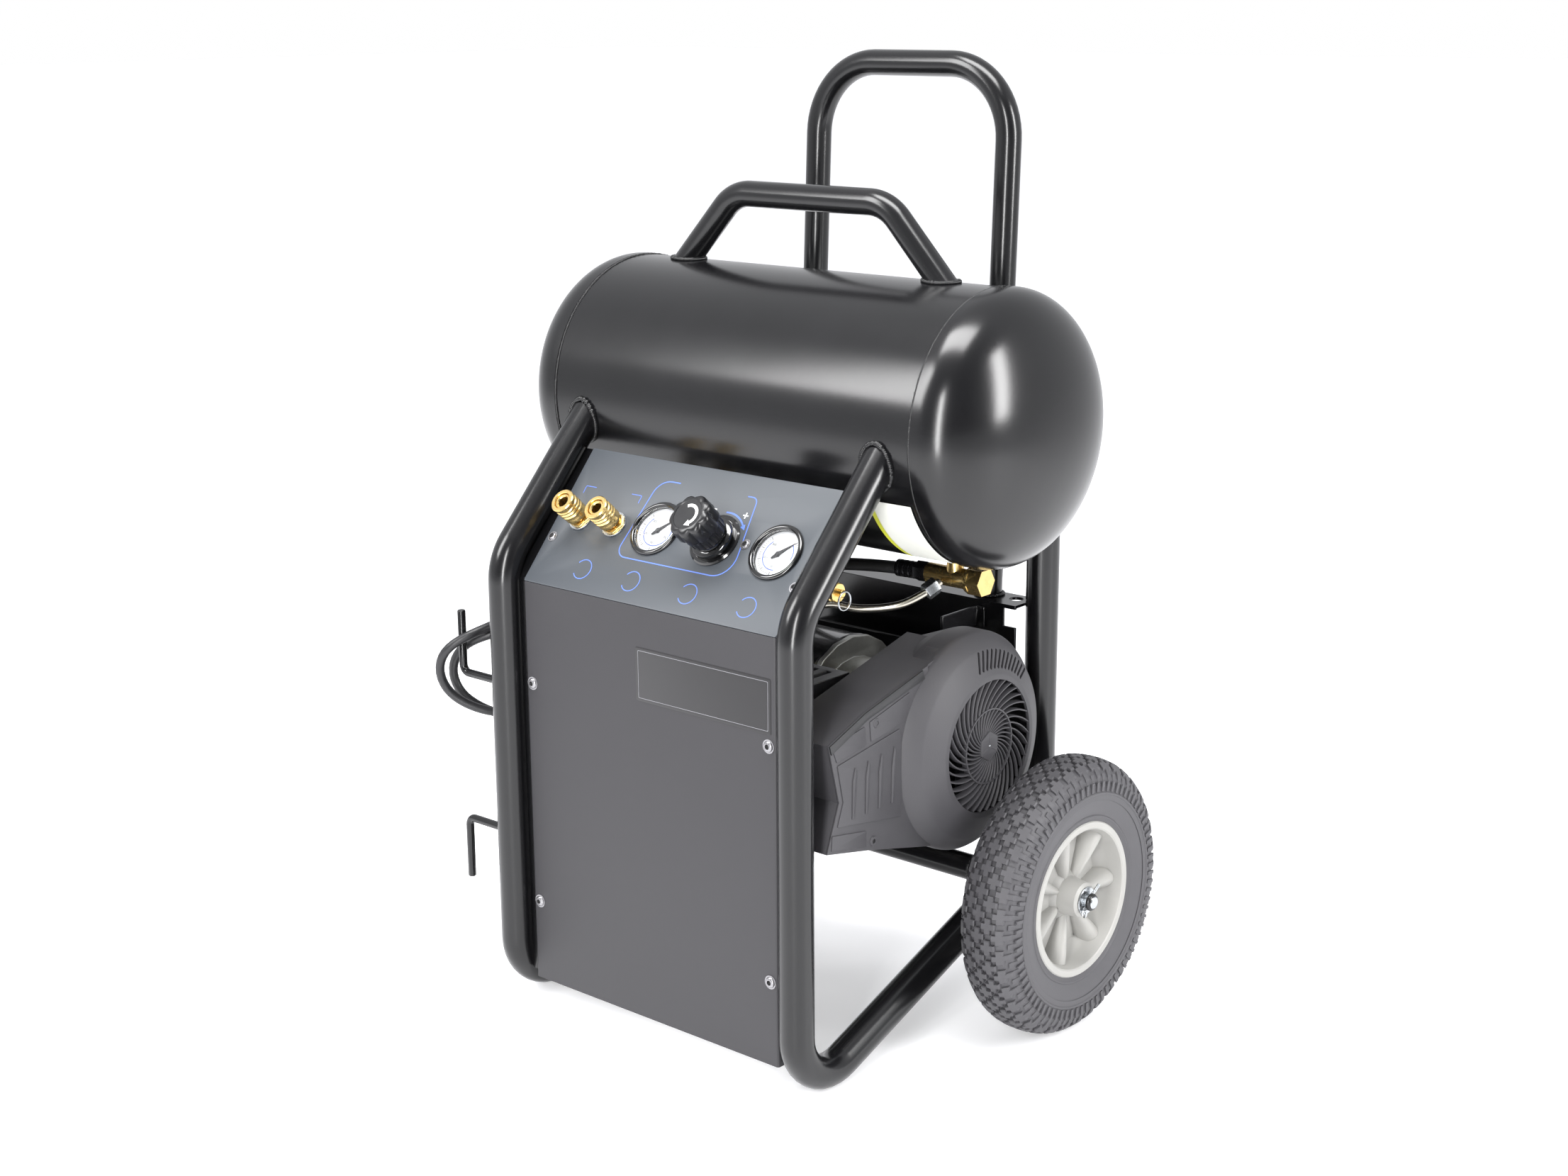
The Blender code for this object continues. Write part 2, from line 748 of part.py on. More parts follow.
# ---------------------------------------------------------------- pump
def make_motor():
    """The electric motor's housing with its stator, the end cap, and the shaft that turns in them."""
    axis = (0, PUMP_Y, PUMP_Z)
    inner, bore = MOTOR_R - 0.004, 0.050
    turned(
        "motor_housing",
        [
            (MOTOR_R, 0.0445),
            (MOTOR_R, -0.095),
            (inner, -0.095),
            (inner, -0.075),
            (bore, -0.075),
            (bore, -0.005),
            (inner, -0.005),
            (inner, 0.0445),
        ],
        axis,
        ALONG_X,
        BLACK,
        24,
        hollow=True,
    )
    turned(
        "motor_end_cap",
        [
            (0.0080, -0.0953),
            (MOTOR_R, -0.0953),
            (MOTOR_R, -0.102),
            (0.060, -0.114),
            (0.0080, -0.116),
        ],
        axis,
        ALONG_X,
        ALLOY,
        20,
        hollow=True,
    )
    shaft_r = 0.0075
    shaft = turned(
        "crankshaft",
        [
            (0, 0.1895),
            (shaft_r, 0.1895),
            (shaft_r, -0.008),
            (bore - 0.001, -0.008),
            (bore - 0.001, -0.072),
            (shaft_r, -0.072),
            (shaft_r, -0.112),
            (0, -0.112),
        ],
        axis,
        ALONG_X,
        STEEL,
        16,
    )
    throw = STROKE / 2
    pin = Vector((CYLINDER_X - 0.008, PUMP_Y, PUMP_Z - throw))
    join(shaft, rod("crank_disc", pin, pin + ALONG_X * 0.016, 0.0215, None, 16))


def make_compressor():
    """The crankcase, cylinder, head and piston, whose stroke runs along Y."""
    axis = (0, PUMP_Y, PUMP_Z)
    case = turned(
        "crankcase",
        [
            (0.0082, 0.0515),
            (0.0500, 0.0515),
            (0.0500, 0.1050),
            (0.0560, 0.1050),
            (0.0560, 0.0510),
            (MOTOR_R, 0.0510),
            (MOTOR_R, 0.0450),
            (0.0082, 0.0450),
        ],
        axis,
        ALONG_X,
        ALLOY,
        20,
        hollow=True,
    )
    pad_y = 0.176
    pad = box("cylinder_pad", (0.045, pad_y, PUMP_Z - 0.036), (0.105, 0.204, PUMP_Z + 0.036), None, cutters)
    join(case, pad)
    cut(case, rod("crank_space", (0.0515, PUMP_Y, PUMP_Z), (0.12, PUMP_Y, PUMP_Z), 0.050, None, 20))
    neck_start, neck_end = (CYLINDER_X, 0.16, PUMP_Z), (CYLINDER_X, 0.215, PUMP_Z)
    cut(case, rod("rod_space", neck_start, neck_end, 0.020, None, 14))

    barrel_r, top = 0.029, 0.096
    length = pad_y - GAP - top
    turned(
        "cylinder",
        [(barrel_r, length), (barrel_r, 0), (BORE_R, 0), (BORE_R, length)],
        (CYLINDER_X, top, PUMP_Z),
        (0, 1, 0),
        ALLOY,
        20,
        hollow=True,
    )
    head = box(
        "cylinder_head",
        (CYLINDER_X - 0.045, 0.058, PUMP_Z - 0.046),
        (0.124, top - GAP, PUMP_Z + 0.046),
        ALLOY,
    )
    bevel = head.modifiers.new("round", "BEVEL")
    bevel.width, bevel.segments = 0.004, 2
    turned(
        "head_fitting",
        [(0, 0.0125), (0.0085, 0.0125), (0.0085, 0.001), (0.006, 0), (0, 0)],
        (0.116, 0.0785, PUMP_Z + 0.046 + GAP),
        UP,
        BRASS,
        6,
    )

    crown_y, skirt = 0.112, 0.018
    piston = rod(
        "piston",
        (CYLINDER_X, crown_y, PUMP_Z),
        (CYLINDER_X, crown_y + skirt, PUMP_Z),
        BORE_R - 0.0008,
        ALLOY,
        20,
    )
    stem = box(
        "rod_stem",
        (CYLINDER_X - 0.005, crown_y + skirt - 0.002, PUMP_Z - 0.008),
        (CYLINDER_X + 0.005, PUMP_Y - STROKE / 2 - 0.0215 - STROKE / 2 - 0.002, PUMP_Z + 0.008),
        None,
        cutters,
    )
    join(piston, stem)

    filter_box = box("intake_filter", (0.020, 0.110, 0.329), (0.100, 0.172, 0.346), PLASTIC)
    for i in range(4):
        x = 0.032 + 0.016 * i
        slot = box(f"filter_slot_{i}", (x, 0.120, 0.338), (x + 0.007, 0.162, 0.350), None, cutters)
        cut(filter_box, slot)

    box("pump_base", (-0.090, 0.3152, 0.222), (0.102, 0.3192, 0.340), BLACK)
    for side, x in (("left", -0.075), ("right", 0.087)):
        low, high = (x - 0.011, 0.3192 + GAP, 0.232), (x + 0.011, PLATE_Y - GAP, 0.330)
        box(f"rubber_mount_{side}", low, high, RUBBER)


def make_fan():
    """A pressed fan on the shaft's end: a hub, a disc and six blades."""
    centre = Vector((0.152, PUMP_Y, PUMP_Z))
    fan = turned(
        "cooling_fan",
        [(0.0078, 0.030), (0.018, 0.030), (0.020, 0.003), (0.078, 0.003), (0.078, 0), (0.0078, 0)],
        centre,
        ALONG_X,
        PLASTIC,
        16,
        hollow=True,
    )
    blades = 6
    for i in range(blades):
        blade = box(f"fan_blade_{i}", (0.015, -0.0015, 0.001), (0.076, 0.0015, 0.024), None, cutters)
        turn = Matrix.Rotation(2 * math.pi * i / blades, 4, "Z") @ Matrix.Translation((0.0455, 0, 0.0125))
        blade.matrix_local = facing(centre, ALONG_X, UP) @ turn
        join(fan, blade)


def shroud_solid(name, wall, group):
    """The shroud's outer form, or its inner form where it is smaller by the wall."""
    axis = (0, PUMP_Y, PUMP_Z)
    mouth = 0.110 if wall == 0 else 0.100
    round_part = turned(
        name,
        [
            (0, GRILLE_X - wall),
            (GRILLE_R + 0.001 - wall, GRILLE_X - wall),
            (0.090 - wall, 0.204 - wall),
            (RIM_OUT_R - wall, 0.188 - wall / 2),
            (RIM_OUT_R - wall, 0.165),
            (0.084 - wall, 0.112),
            (0.084 - wall, mouth),
            (0, mouth),
        ],
        axis,
        ALONG_X,
        PLASTIC,
        24,
        group=group,
    )
    side_x = 0.190 - wall
    inset = wall * 1.2
    outline = [
        (0.034 + inset, 0.3265 - inset),
        (0.050 + inset, 0.270),
        (0.033 + inset, 0.227 + inset),
        (0.094, 0.214 + inset),
        (PUMP_Y, PUMP_Z - RIM_OUT_R + 0.004 + inset),
        (PUMP_Y, PUMP_Z + RIM_OUT_R - 0.004 - inset),
        (0.098, 0.340 - inset),
    ]
    inner_x = 0.130 if wall == 0 else 0.120
    across = Matrix(((0, 0, 1), (1, 0, 0), (0, 1, 0))).to_4x4()
    place = Matrix.Translation(((inner_x + side_x) / 2, 0, 0)) @ across
    duct = as_mesh(flat(f"{name}_duct", [outline], side_x - inner_x, None, place, cutters))
    join(round_part, duct)
    return round_part


def make_shroud():
    """The moulded fan shroud, open to the motor, with a round grille in its outer face."""
    shroud = shroud_solid("fan_shroud", 0, parts)
    cut(shroud, shroud_solid("shroud_space", 0.003, cutters))
    slots = []
    count, inner_r, outer_r, rib = 12, 0.018, GRILLE_R - 0.003, 0.002
    for i in range(count):
        middle = 2 * math.pi * i / count
        reach = math.pi / count
        for radius, flip in ((inner_r, 1), (outer_r, -1)):
            spare = reach - rib / radius
            steps = [middle + flip * spare * t for t in (-1, 0, 1)]
            arc = [(radius * math.cos(a), radius * math.sin(a)) for a in steps]
            slots.append(arc) if flip == 1 else slots[-1].extend(arc)
    place = facing((GRILLE_X, PUMP_Y, PUMP_Z), ALONG_X, UP)
    cut(shroud, as_mesh(flat("grille_cutter", slots, 0.02, None, place, cutters)))


# ---------------------------------------------------------------- cord and its hooks
HOOK_X = -0.2455
HOOK_UP_Z, HOOK_LOW_Z = 0.3205, 0.1705
HANK_X = (-0.2275, -0.2005)
HANK_Y = (0.040, 0.103)
HANK_Z = (0.070, 0.268)
LEAD_X, LEAD_R = -0.2095, 0.0366
PLUG_AT = (-0.2125, 0.1135, 0.206)
CORD_ROUTE = [
    (-0.1806, 0.124, 0.394),
    (-0.200, 0.124, 0.393),
    (-0.222, 0.114, 0.388),
    (-0.233, 0.090, 0.379),
    (-0.230, 0.062, 0.371),
    (-0.224, 0.034, 0.365),
    (-0.230, 0.006, 0.360),
    (-0.2455, -0.0145, 0.350),
    (-0.2610, -0.0125, 0.328),
    (-0.2580, -0.0060, 0.302),
    (-0.2380, 0.008, 0.286),
    (-0.2180, 0.034, 0.282),
    (-0.2130, 0.064, 0.294),
    (-0.2140, 0.080, 0.322),
    (-0.2160, 0.062, 0.347),
    (-0.2200, 0.032, 0.352),
    (-0.2360, 0.0150, 0.350),
    (-0.2580, 0.0090, 0.338),
    (-0.2680, 0.0040, 0.316),
    (-0.2560, 0.0120, 0.292),
    (-0.2350, 0.028, 0.279),
    (-0.2240, 0.046, 0.2745),
    (-0.2230, 0.062, 0.2730),
]


def make_cord():
    """Two round-bar hooks welded to the left tube, and the cord hung on the upper one."""
    for name, z, way in (("cord_hook_upper", HOOK_UP_Z, 1), ("cord_hook_lower", HOOK_LOW_Z, -1)):
        start = (-SIDE_X - TUBE_R - GAP, 0, z)
        path = rounded([start, (HOOK_X, 0, z), (HOOK_X, 0, z + way * 0.0625)], [0.008], 4)
        tube(name, path, HOOK_R, BLACK, 2)

    tube("power_cord", smooth_through(CORD_ROUTE, 0.020), CORD_R, RUBBER, 2)

    end_r = (HANK_Y[1] - HANK_Y[0]) / 2
    middle_y = HANK_Y[0] + end_r
    outline = [
        (middle_y + end_r * math.cos(a), z + end_r * math.sin(a))
        for z, start in ((HANK_Z[1] - end_r, 0), (HANK_Z[0] + end_r, math.pi))
        for a in (start + math.pi * i / 8 for i in range(9))
    ]
    across = Matrix(((0, 0, 1), (1, 0, 0), (0, 1, 0))).to_4x4()
    place = Matrix.Translation((sum(HANK_X) / 2, 0, 0)) @ across
    flat("cord_hank", [outline], HANK_X[1] - HANK_X[0], RUBBER, place)

    # the lead to the plug folds over the top of the hank and hangs down behind it
    x, y, top = PLUG_AT
    fold_z = HANK_Z[1] - end_r
    lead = [(LEAD_X, middle_y - LEAD_R, fold_z - 0.0115)]
    lead += [
        (LEAD_X, middle_y - LEAD_R * math.cos(a), fold_z + LEAD_R * math.sin(a))
        for a in (math.pi * i / 12 for i in range(13))
    ]
    lead += [(x + 0.0025, y - 0.004, top + 0.019), (x + 0.001, y - 0.001, top + 0.0095), (x, y, top), (x, y, top - 0.006)]
    plug = as_mesh(tube("plug", lead, CORD_R, RUBBER, 2))
    join(plug, rod("plug_neck", (x, y, top), (x, y, top - 0.030), 0.0055, None, 12, 0.0088, cutters))
    grip_low, grip_top = top - 0.060, top - 0.026
    join(plug, box("plug_grip", (x - 0.011, y - 0.009, grip_low), (x + 0.011, y + 0.009, grip_top), None, cutters))
    for i, across_x in enumerate((-0.0063, 0.0063)):
        low = (x + across_x - 0.0008, y - 0.0032, grip_low - 0.0165)
        join(plug, box(f"plug_blade_{i}", low, (low[0] + 0.0016, y + 0.0032, grip_low + 0.002), None, cutters))


for build in (
    make_tank,
    lambda: make_frame(tank_cutter()),
    make_back_plate,
    make_axle,
    make_wheels,
    make_cover,
    make_gauges,
    make_regulator,
    make_couplers,
    make_pipes,
    make_pressure_switch,
    make_air_lines,
    make_motor,
    make_compressor,
    make_fan,
    make_shroud,
    make_cord,
):
    build()
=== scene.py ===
"""Looks of a portable air compressor on a wheeled tube frame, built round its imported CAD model.

X runs along the tank, the front cover faces -Y, and +Z is up. Lengths are in metres. Depths are
given from the centreline of the two front tubes, as the frame is set out, and placed by at().
"""

import math

import bmesh
import bpy
from mathutils import Matrix, Vector


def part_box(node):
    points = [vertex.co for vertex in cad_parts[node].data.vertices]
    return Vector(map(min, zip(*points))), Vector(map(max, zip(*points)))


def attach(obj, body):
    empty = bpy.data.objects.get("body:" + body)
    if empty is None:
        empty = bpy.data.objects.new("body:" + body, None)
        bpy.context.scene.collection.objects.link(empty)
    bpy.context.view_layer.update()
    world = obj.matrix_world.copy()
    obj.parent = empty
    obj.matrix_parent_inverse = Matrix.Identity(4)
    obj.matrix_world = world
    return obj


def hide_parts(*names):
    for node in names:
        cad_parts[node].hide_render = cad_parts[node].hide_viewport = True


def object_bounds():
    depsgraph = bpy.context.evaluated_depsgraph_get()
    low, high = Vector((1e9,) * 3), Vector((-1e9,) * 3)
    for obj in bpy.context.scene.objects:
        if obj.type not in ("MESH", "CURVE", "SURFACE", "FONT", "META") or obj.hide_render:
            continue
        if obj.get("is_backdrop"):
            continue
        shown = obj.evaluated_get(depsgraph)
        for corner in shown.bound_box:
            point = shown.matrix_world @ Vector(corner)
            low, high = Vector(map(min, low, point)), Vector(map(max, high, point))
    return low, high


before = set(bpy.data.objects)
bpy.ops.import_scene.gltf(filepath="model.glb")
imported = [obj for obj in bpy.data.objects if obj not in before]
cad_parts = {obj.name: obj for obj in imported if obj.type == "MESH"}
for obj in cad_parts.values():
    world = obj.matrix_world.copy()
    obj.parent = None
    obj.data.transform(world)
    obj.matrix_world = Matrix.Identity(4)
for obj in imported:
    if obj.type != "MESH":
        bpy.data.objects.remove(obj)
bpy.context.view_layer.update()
SIDES = (("left", -1), ("right", 1))

# ---------------------------------------------------------------- camera
# The view is the one a long lens gives from just above the panel, to the front right of the
# compressor. The axle's depth behind the front tubes ties the depths below to the CAD.
AXLE_DEPTH = 0.2855
axle_low, axle_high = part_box("axle")
FRONT = (axle_low.y + axle_high.y) / 2 - AXLE_DEPTH


def at(x, depth, z):
    """A point that far behind the front tubes' centreline."""
    return Vector((x, FRONT + depth, z))


def placed(name, data):
    """A new object of this data, in the scene."""
    made = bpy.data.objects.new(name, data)
    bpy.context.scene.collection.objects.link(made)
    return made


def looking(place, aim):
    """The placement of a camera or a lamp that looks at a point."""
    aim = Vector(aim) - Vector(place)
    return Matrix.Translation(Vector(place)) @ aim.to_track_quat("-Z", "Y").to_matrix().to_4x4()


SENSOR_MM = 36.0
# the focal length and the frame's width, in one unit
FOCAL_LENGTH, FRAME_WIDTH = 3279.99, 2212
LENS_TURN = math.radians(-0.3746)
eye, target = at(1.42138, -1.43637, 0.96038), at(-0.0123, 0.2086, 0.4013)

view = bpy.data.cameras.new("view")
view.sensor_width = SENSOR_MM
view.lens = SENSOR_MM * FOCAL_LENGTH / FRAME_WIDTH
view.clip_start, view.clip_end = 0.05, 60
camera = placed("view", view)
camera.matrix_world = looking(eye, target) @ Matrix.Rotation(LENS_TURN, 4, "Z")
bpy.context.scene.camera = camera


# ---------------------------------------------------------------- studio
# A white seamless floor that lights itself a little, as paper under flash does, soft light from all
# round that falls off behind the lens, and four soft boxes whose long reflections run down the black
# tubes and the tank.
def linear(colour):
    """An sRGB hex colour as the linear RGBA that a shader works in."""
    parts = [int(colour[i : i + 2], 16) / 255 for i in (1, 3, 5)]
    return (*(c / 12.92 if c <= 0.04045 else ((c + 0.055) / 1.055) ** 2.4 for c in parts), 1)


def node(tree, kind, inputs=None, **settings):
    """Adds a node, with its settings, and its inputs' values or the sockets that feed them."""
    made = tree.nodes.new(kind)
    for setting, value in settings.items():
        setattr(made, setting, value)
    for socket, value in (inputs or {}).items():
        if isinstance(value, bpy.types.NodeSocket):
            tree.links.new(value, made.inputs[socket])
        else:
            made.inputs[socket].default_value = value
    return made


def softbox(name, place, aim, width, height, watts):
    """A rectangular soft box that looks at a point."""
    light = bpy.data.lights.new(name, "AREA")
    light.shape = "RECTANGLE"
    light.size, light.size_y = width, height
    light.energy = watts
    placed(name, light).matrix_world = looking(place, aim)


FLOOR_REACH, PAPER_GLOW = 30, 0.36
floor_mesh = bpy.data.meshes.new("seamless_floor")
corners = [(-1, -1), (1, -1), (1, 1), (-1, 1)]
floor_mesh.from_pydata([(x * FLOOR_REACH, y * FLOOR_REACH, 0) for x, y in corners], [], [(0, 1, 2, 3)])
placed("seamless_floor", floor_mesh)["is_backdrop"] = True
paper = bpy.data.materials.new("seamless_paper")
paper.use_nodes = True
paper_shader = paper.node_tree.nodes["Principled BSDF"]
paper_shader.inputs["Base Color"].default_value = linear("#e8e8ea")
paper_shader.inputs["Roughness"].default_value = 0.55
paper_shader.inputs["Emission Color"].default_value = linear("#ffffff")
paper_shader.inputs["Emission Strength"].default_value = PAPER_GLOW
floor_mesh.materials.append(paper)

world = bpy.data.worlds.new("studio")
world.use_nodes = True
bpy.context.scene.world = world
sky = world.node_tree
sky.nodes.clear()
seen = node(sky, "ShaderNodeLightPath")
outward = node(sky, "ShaderNodeTexCoord").outputs["Generated"]
LENS_WAY, FILL_FAR, FILL_NEAR = (0.65, -0.74, 0.17), 1.05, 0.2
lens_side = node(sky, "ShaderNodeVectorMath", {0: outward, 1: LENS_WAY}, operation="DOT_PRODUCT")
level = node(
    sky,
    "ShaderNodeMapRange",
    {"Value": lens_side.outputs["Value"], "From Min": 0.2, "From Max": 0.9, "To Min": FILL_FAR,
    "To Max": FILL_NEAR},
)
fill = node(sky, "ShaderNodeBackground", {"Color": linear("#f4f5f8"), "Strength": level.outputs[0]})
white = node(sky, "ShaderNodeBackground", {"Color": linear("#ffffff"), "Strength": 1.0})
either = node(
    sky, "ShaderNodeMixShader", {0: seen.outputs["Is Camera Ray"], 1: fill.outputs[0], 2: white.outputs[0]}
)
node(sky, "ShaderNodeOutputWorld", {"Surface": either.outputs[0]})

softbox("key_box", (-1.5, -2.2, 2.3), (0, 0, 0.45), 0.9, 1.6, 75)
softbox("side_box", (2.6, 0.5, 1.5), (0, 0, 0.5), 0.5, 1.8, 75)
softbox("top_box", (0.1, -0.5, 2.7), (0, 0, 0.5), 1.8, 0.8, 80)
softbox("lens_strip", (1.35, -2.75, 1.1), (0, 0, 0.55), 0.40, 2.4, 95)
bpy.context.scene.view_settings.view_transform = "Standard"
bpy.context.scene.view_settings.look = "None"


# ---------------------------------------------------------------- power cord
# A rubber-sheathed mains cord, about 9 mm across, hung in two loops on the upper hook. The rest is
# folded into a hank between the frame and the wheel, bound by a strap, with the plug hanging behind.
CORD_R = 0.0045
HANK_LAYERS = (-0.223, -0.214, -0.205)
HANK_NEAR, HANK_FAR = 0.0445, 0.0985
FOLD_TOP, FOLD_LOW = 0.2365, 0.1015
OVER_R = 0.0366
LEAD_X = -0.2095
CORD_LOOPS = [
    (-0.1806, 0.124, 0.394), (-0.198, 0.1235, 0.3935), (-0.216, 0.117, 0.391), (-0.2285, 0.100, 0.384),
    (-0.2305, 0.076, 0.375), (-0.2275, 0.050, 0.369), (-0.2270, 0.025, 0.366), (-0.2325, 0.0005, 0.3605),
    (-0.2480, -0.0170, 0.3485), (-0.2620, -0.0180, 0.3265), (-0.2620, -0.0095, 0.3010),
    (-0.2440, 0.006, 0.284), (-0.2230, 0.032, 0.275), (-0.2110, 0.062, 0.283), (-0.2080, 0.0835, 0.3070),
    (-0.2095, 0.0825, 0.3350), (-0.2130, 0.062, 0.354), (-0.2200, 0.036, 0.359), (-0.2350, 0.0170, 0.354),
    (-0.2565, 0.0095, 0.3420), (-0.2700, 0.0060, 0.3185), (-0.2640, 0.0110, 0.2920), (-0.2430, 0.025, 0.276),
    (-0.2270, 0.046, 0.2662), (-0.2230, 0.068, 0.2636),
]


def smooth_through(points, spacing):
    """Points about one spacing apart on a smooth curve through the route's own points."""
    points = [Vector(p) for p in points]
    ends = [2 * points[0] - points[1]] + points + [2 * points[-1] - points[-2]]
    path = [points[0]]
    for a, b, c, d in zip(ends, ends[1:], ends[2:], ends[3:]):
        count = max(1, round((c - b).length / spacing))
        for i in range(1, count + 1):
            t = i / count
            turn = 2 * b + (c - a) * t + (2 * a - 5 * b + 4 * c - d) * t**2
            path.append(0.5 * (turn + (3 * b - a - 3 * c + d) * t**3))
    return path


fold_r = (HANK_FAR - HANK_NEAR) / 2
fold_y = (HANK_FAR + HANK_NEAR) / 2


def fold(x, centre_z, first, last, radius, steps=8):
    """Points of a fold of the hank, by angle from the near side over the top, in degrees."""
    turns = (math.radians(first + (last - first) * i / steps) for i in range(steps + 1))
    return [(x, fold_y - radius * math.cos(a), centre_z + radius * math.sin(a)) for a in turns]


def run(start, end, steps=4):
    """Points between two ends of a straight run, without the ends."""
    return [tuple(a + (b - a) * i / steps for a, b in zip(start, end)) for i in range(1, steps)]


def settled(path, first, last, rounds):
    """The path with the tight places between two of its points eased, as a stiff cord settles."""
    for _ in range(rounds):
        middle = [(path[i - 1] + path[i + 1]) / 4 + path[i] / 2 for i in range(first, last)]
        path = path[:first] + middle + path[last:]
    return path


route = list(CORD_LOOPS)
last_layer = len(HANK_LAYERS) - 1
for index, x in enumerate(HANK_LAYERS):
    over = fold(x, FOLD_TOP, 90 if index == 0 else 0, 180, fold_r)
    under = fold(x, FOLD_LOW, 180, 360, fold_r)
    route += over + run(over[-1], under[0]) + under
    if index < last_layer:
        route += run(under[-1], (HANK_LAYERS[index + 1], HANK_NEAR, FOLD_TOP))
for depth, x, z in (
    (0.0382, -0.205, 0.128), (0.0352, -0.205, 0.155), (0.0349, -0.206, 0.183), (0.0349, -0.208, 0.210)
):
    route.append((x, depth, z))
route += fold(LEAD_X, FOLD_TOP, 0, 180, OVER_R)
route += [(-0.2100, 0.1095, 0.226), (-0.2115, 0.1125, 0.2165), (-0.2125, 0.1135, 0.206)]
# the hung loops are the points between these two
LOOPS_FIRST, LOOPS_LAST, ROUNDS = 2, 125, 6
cord_points = settled([at(*p) for p in smooth_through(route, 0.006)], LOOPS_FIRST, LOOPS_LAST, ROUNDS)


def surface(
    name, colour, second, spot_mm, roughness, grain_mm, grain, gloss_spread=0.05, metallic=0.0, **sockets
):
    """A material whose colour drifts between two hexes in spots, with a fine grain of its own size."""
    made = bpy.data.materials.new(name)
    made.use_nodes = True
    tree = made.node_tree
    shader = tree.nodes["Principled BSDF"]
    where = node(tree, "ShaderNodeTexCoord").outputs["Object"]
    spots = node(tree, "ShaderNodeTexNoise", {"Vector": where, "Scale": 1000 / spot_mm, "Detail": 4.0})
    mixed = node(
        tree,
        "ShaderNodeMix",
        {0: spots.outputs[0], 6: linear(colour), 7: linear(second)},
        data_type="RGBA",
    )
    tree.links.new(mixed.outputs[2], shader.inputs["Base Color"])
    gloss = node(
        tree,
        "ShaderNodeMapRange",
        {"Value": spots.outputs[0], "To Min": roughness - gloss_spread, "To Max": roughness + gloss_spread},
    )
    tree.links.new(gloss.outputs[0], shader.inputs["Roughness"])
    grains = node(tree, "ShaderNodeTexNoise", {"Vector": where, "Scale": 1000 / grain_mm, "Detail": 2.0})
    bump = node(tree, "ShaderNodeBump", {"Height": grains.outputs[0], "Strength": 0.5, "Distance": grain})
    tree.links.new(bump.outputs[0], shader.inputs["Normal"])
    shader.inputs["Metallic"].default_value = metallic
    for socket, value in sockets.items():
        shader.inputs[socket.replace("_", " ")].default_value = value
    return made


# PVC-sheathed cord: a dull sheen, a little uneven where the sheath was drawn over the cores.
CORD_SHEATH = surface("pvc_cord_sheath", "#141416", "#1c1c1f", 9, 0.42, 2.5, 0.00015)


def fit(made, body, slot, *nodes):
    """Puts a finished piece on its body, and in the place of the CAD nodes it stands for; the slot is not
    used.
    """
    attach(made, body)
    if nodes:
        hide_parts(*nodes)
    return made


def new_piece(name, data, material, angle=40):
    """A piece from a mesh that is already in place, smooth except at its edges."""
    made = placed(name, data)
    data.materials.clear()
    data.materials.append(material)
    data.shade_smooth()
    data.set_sharp_from_angle(angle=math.radians(angle))
    return made


def add_line(curve, points, closed=False):
    """A line of straight pieces through these points, on a curve."""
    line = curve.splines.new("POLY")
    line.points.add(len(points) - 1)
    for knot, point in zip(line.points, points):
        knot.co = (*point, 1)
    line.use_cyclic_u = closed
    return line


def mesh_of(name, shape, outwards=True):
    """The mesh of a finished shape, with its faces turned outwards first if they may not be."""
    if outwards:
        bmesh.ops.recalc_face_normals(shape, faces=shape.faces)
    data = bpy.data.meshes.new(name)
    shape.to_mesh(data)
    shape.free()
    return data


def worked_out(made):
    """The plain mesh of a curve, a text or a piece with modifiers."""
    bpy.context.view_layer.update()
    return bpy.data.meshes.new_from_object(made.evaluated_get(bpy.context.evaluated_depsgraph_get()))


def lofted(name, rings, closed=False):
    """The mesh whose walls join each ring of points to the next, capped unless it closes on itself."""
    shape = bmesh.new()
    rings = [[shape.verts.new(point) for point in ring] for ring in rings]
    sides = len(rings[0])
    pairs = list(zip(rings, rings[1:]))
    if closed:
        # the rings may come back turned, so the last one meets the first at its nearest corner
        start = min(range(sides), key=lambda k: (rings[-1][0].co - rings[0][k].co).length)
        pairs.append((rings[-1], rings[0][start:] + rings[0][:start]))
    for a, b in pairs:
        for i in range(sides):
            j = (i + 1) % sides
            shape.faces.new((a[i], a[j], b[j], b[i]))
    if not closed:
        shape.faces.new(rings[0][::-1])
        shape.faces.new(rings[-1])
    return mesh_of(name, shape)


sheath = bpy.data.curves.new("mains_cord", "CURVE")
sheath.dimensions = "3D"
sheath.bevel_depth = CORD_R
sheath.bevel_resolution = 5
sheath.use_fill_caps = True
add_line(sheath, cord_points).use_smooth = True
sheath.materials.append(CORD_SHEATH)
mains_cord = placed("mains_cord", sheath)
fit(mains_cord, "frame", "black_rubber", "power_cord", "cord_hank")


def lathe(name, profile, centre, axis, material, steps=64, closed=False, angle=40):
    """A profile of (radius, height) pairs turned about an axis, as one closed skin."""
    shape = bmesh.new()
    rings = []
    for radius, height in profile:
        if radius < 1e-7:
            rings.append([shape.verts.new((0, 0, height))])
            continue
        turns = (2 * math.pi * i / steps for i in range(steps))
        rings.append([shape.verts.new((radius * math.cos(a), radius * math.sin(a), height)) for a in turns])
    pairs = list(zip(rings, rings[1:]))
    if closed:
        pairs.append((rings[-1], rings[0]))
    for a, b in pairs:
        for i in range(steps):
            j = (i + 1) % steps
            if len(a) == 1 and len(b) == 1:
                continue
            if len(a) == 1:
                shape.faces.new((a[0], b[i], b[j]))
            elif len(b) == 1:
                shape.faces.new((a[i], b[0], a[j]))
            else:
                shape.faces.new((a[i], b[i], b[j], a[j]))
    data = mesh_of(name, shape)
    data.transform(facing(centre, axis))
    return new_piece(name, data, material, angle)


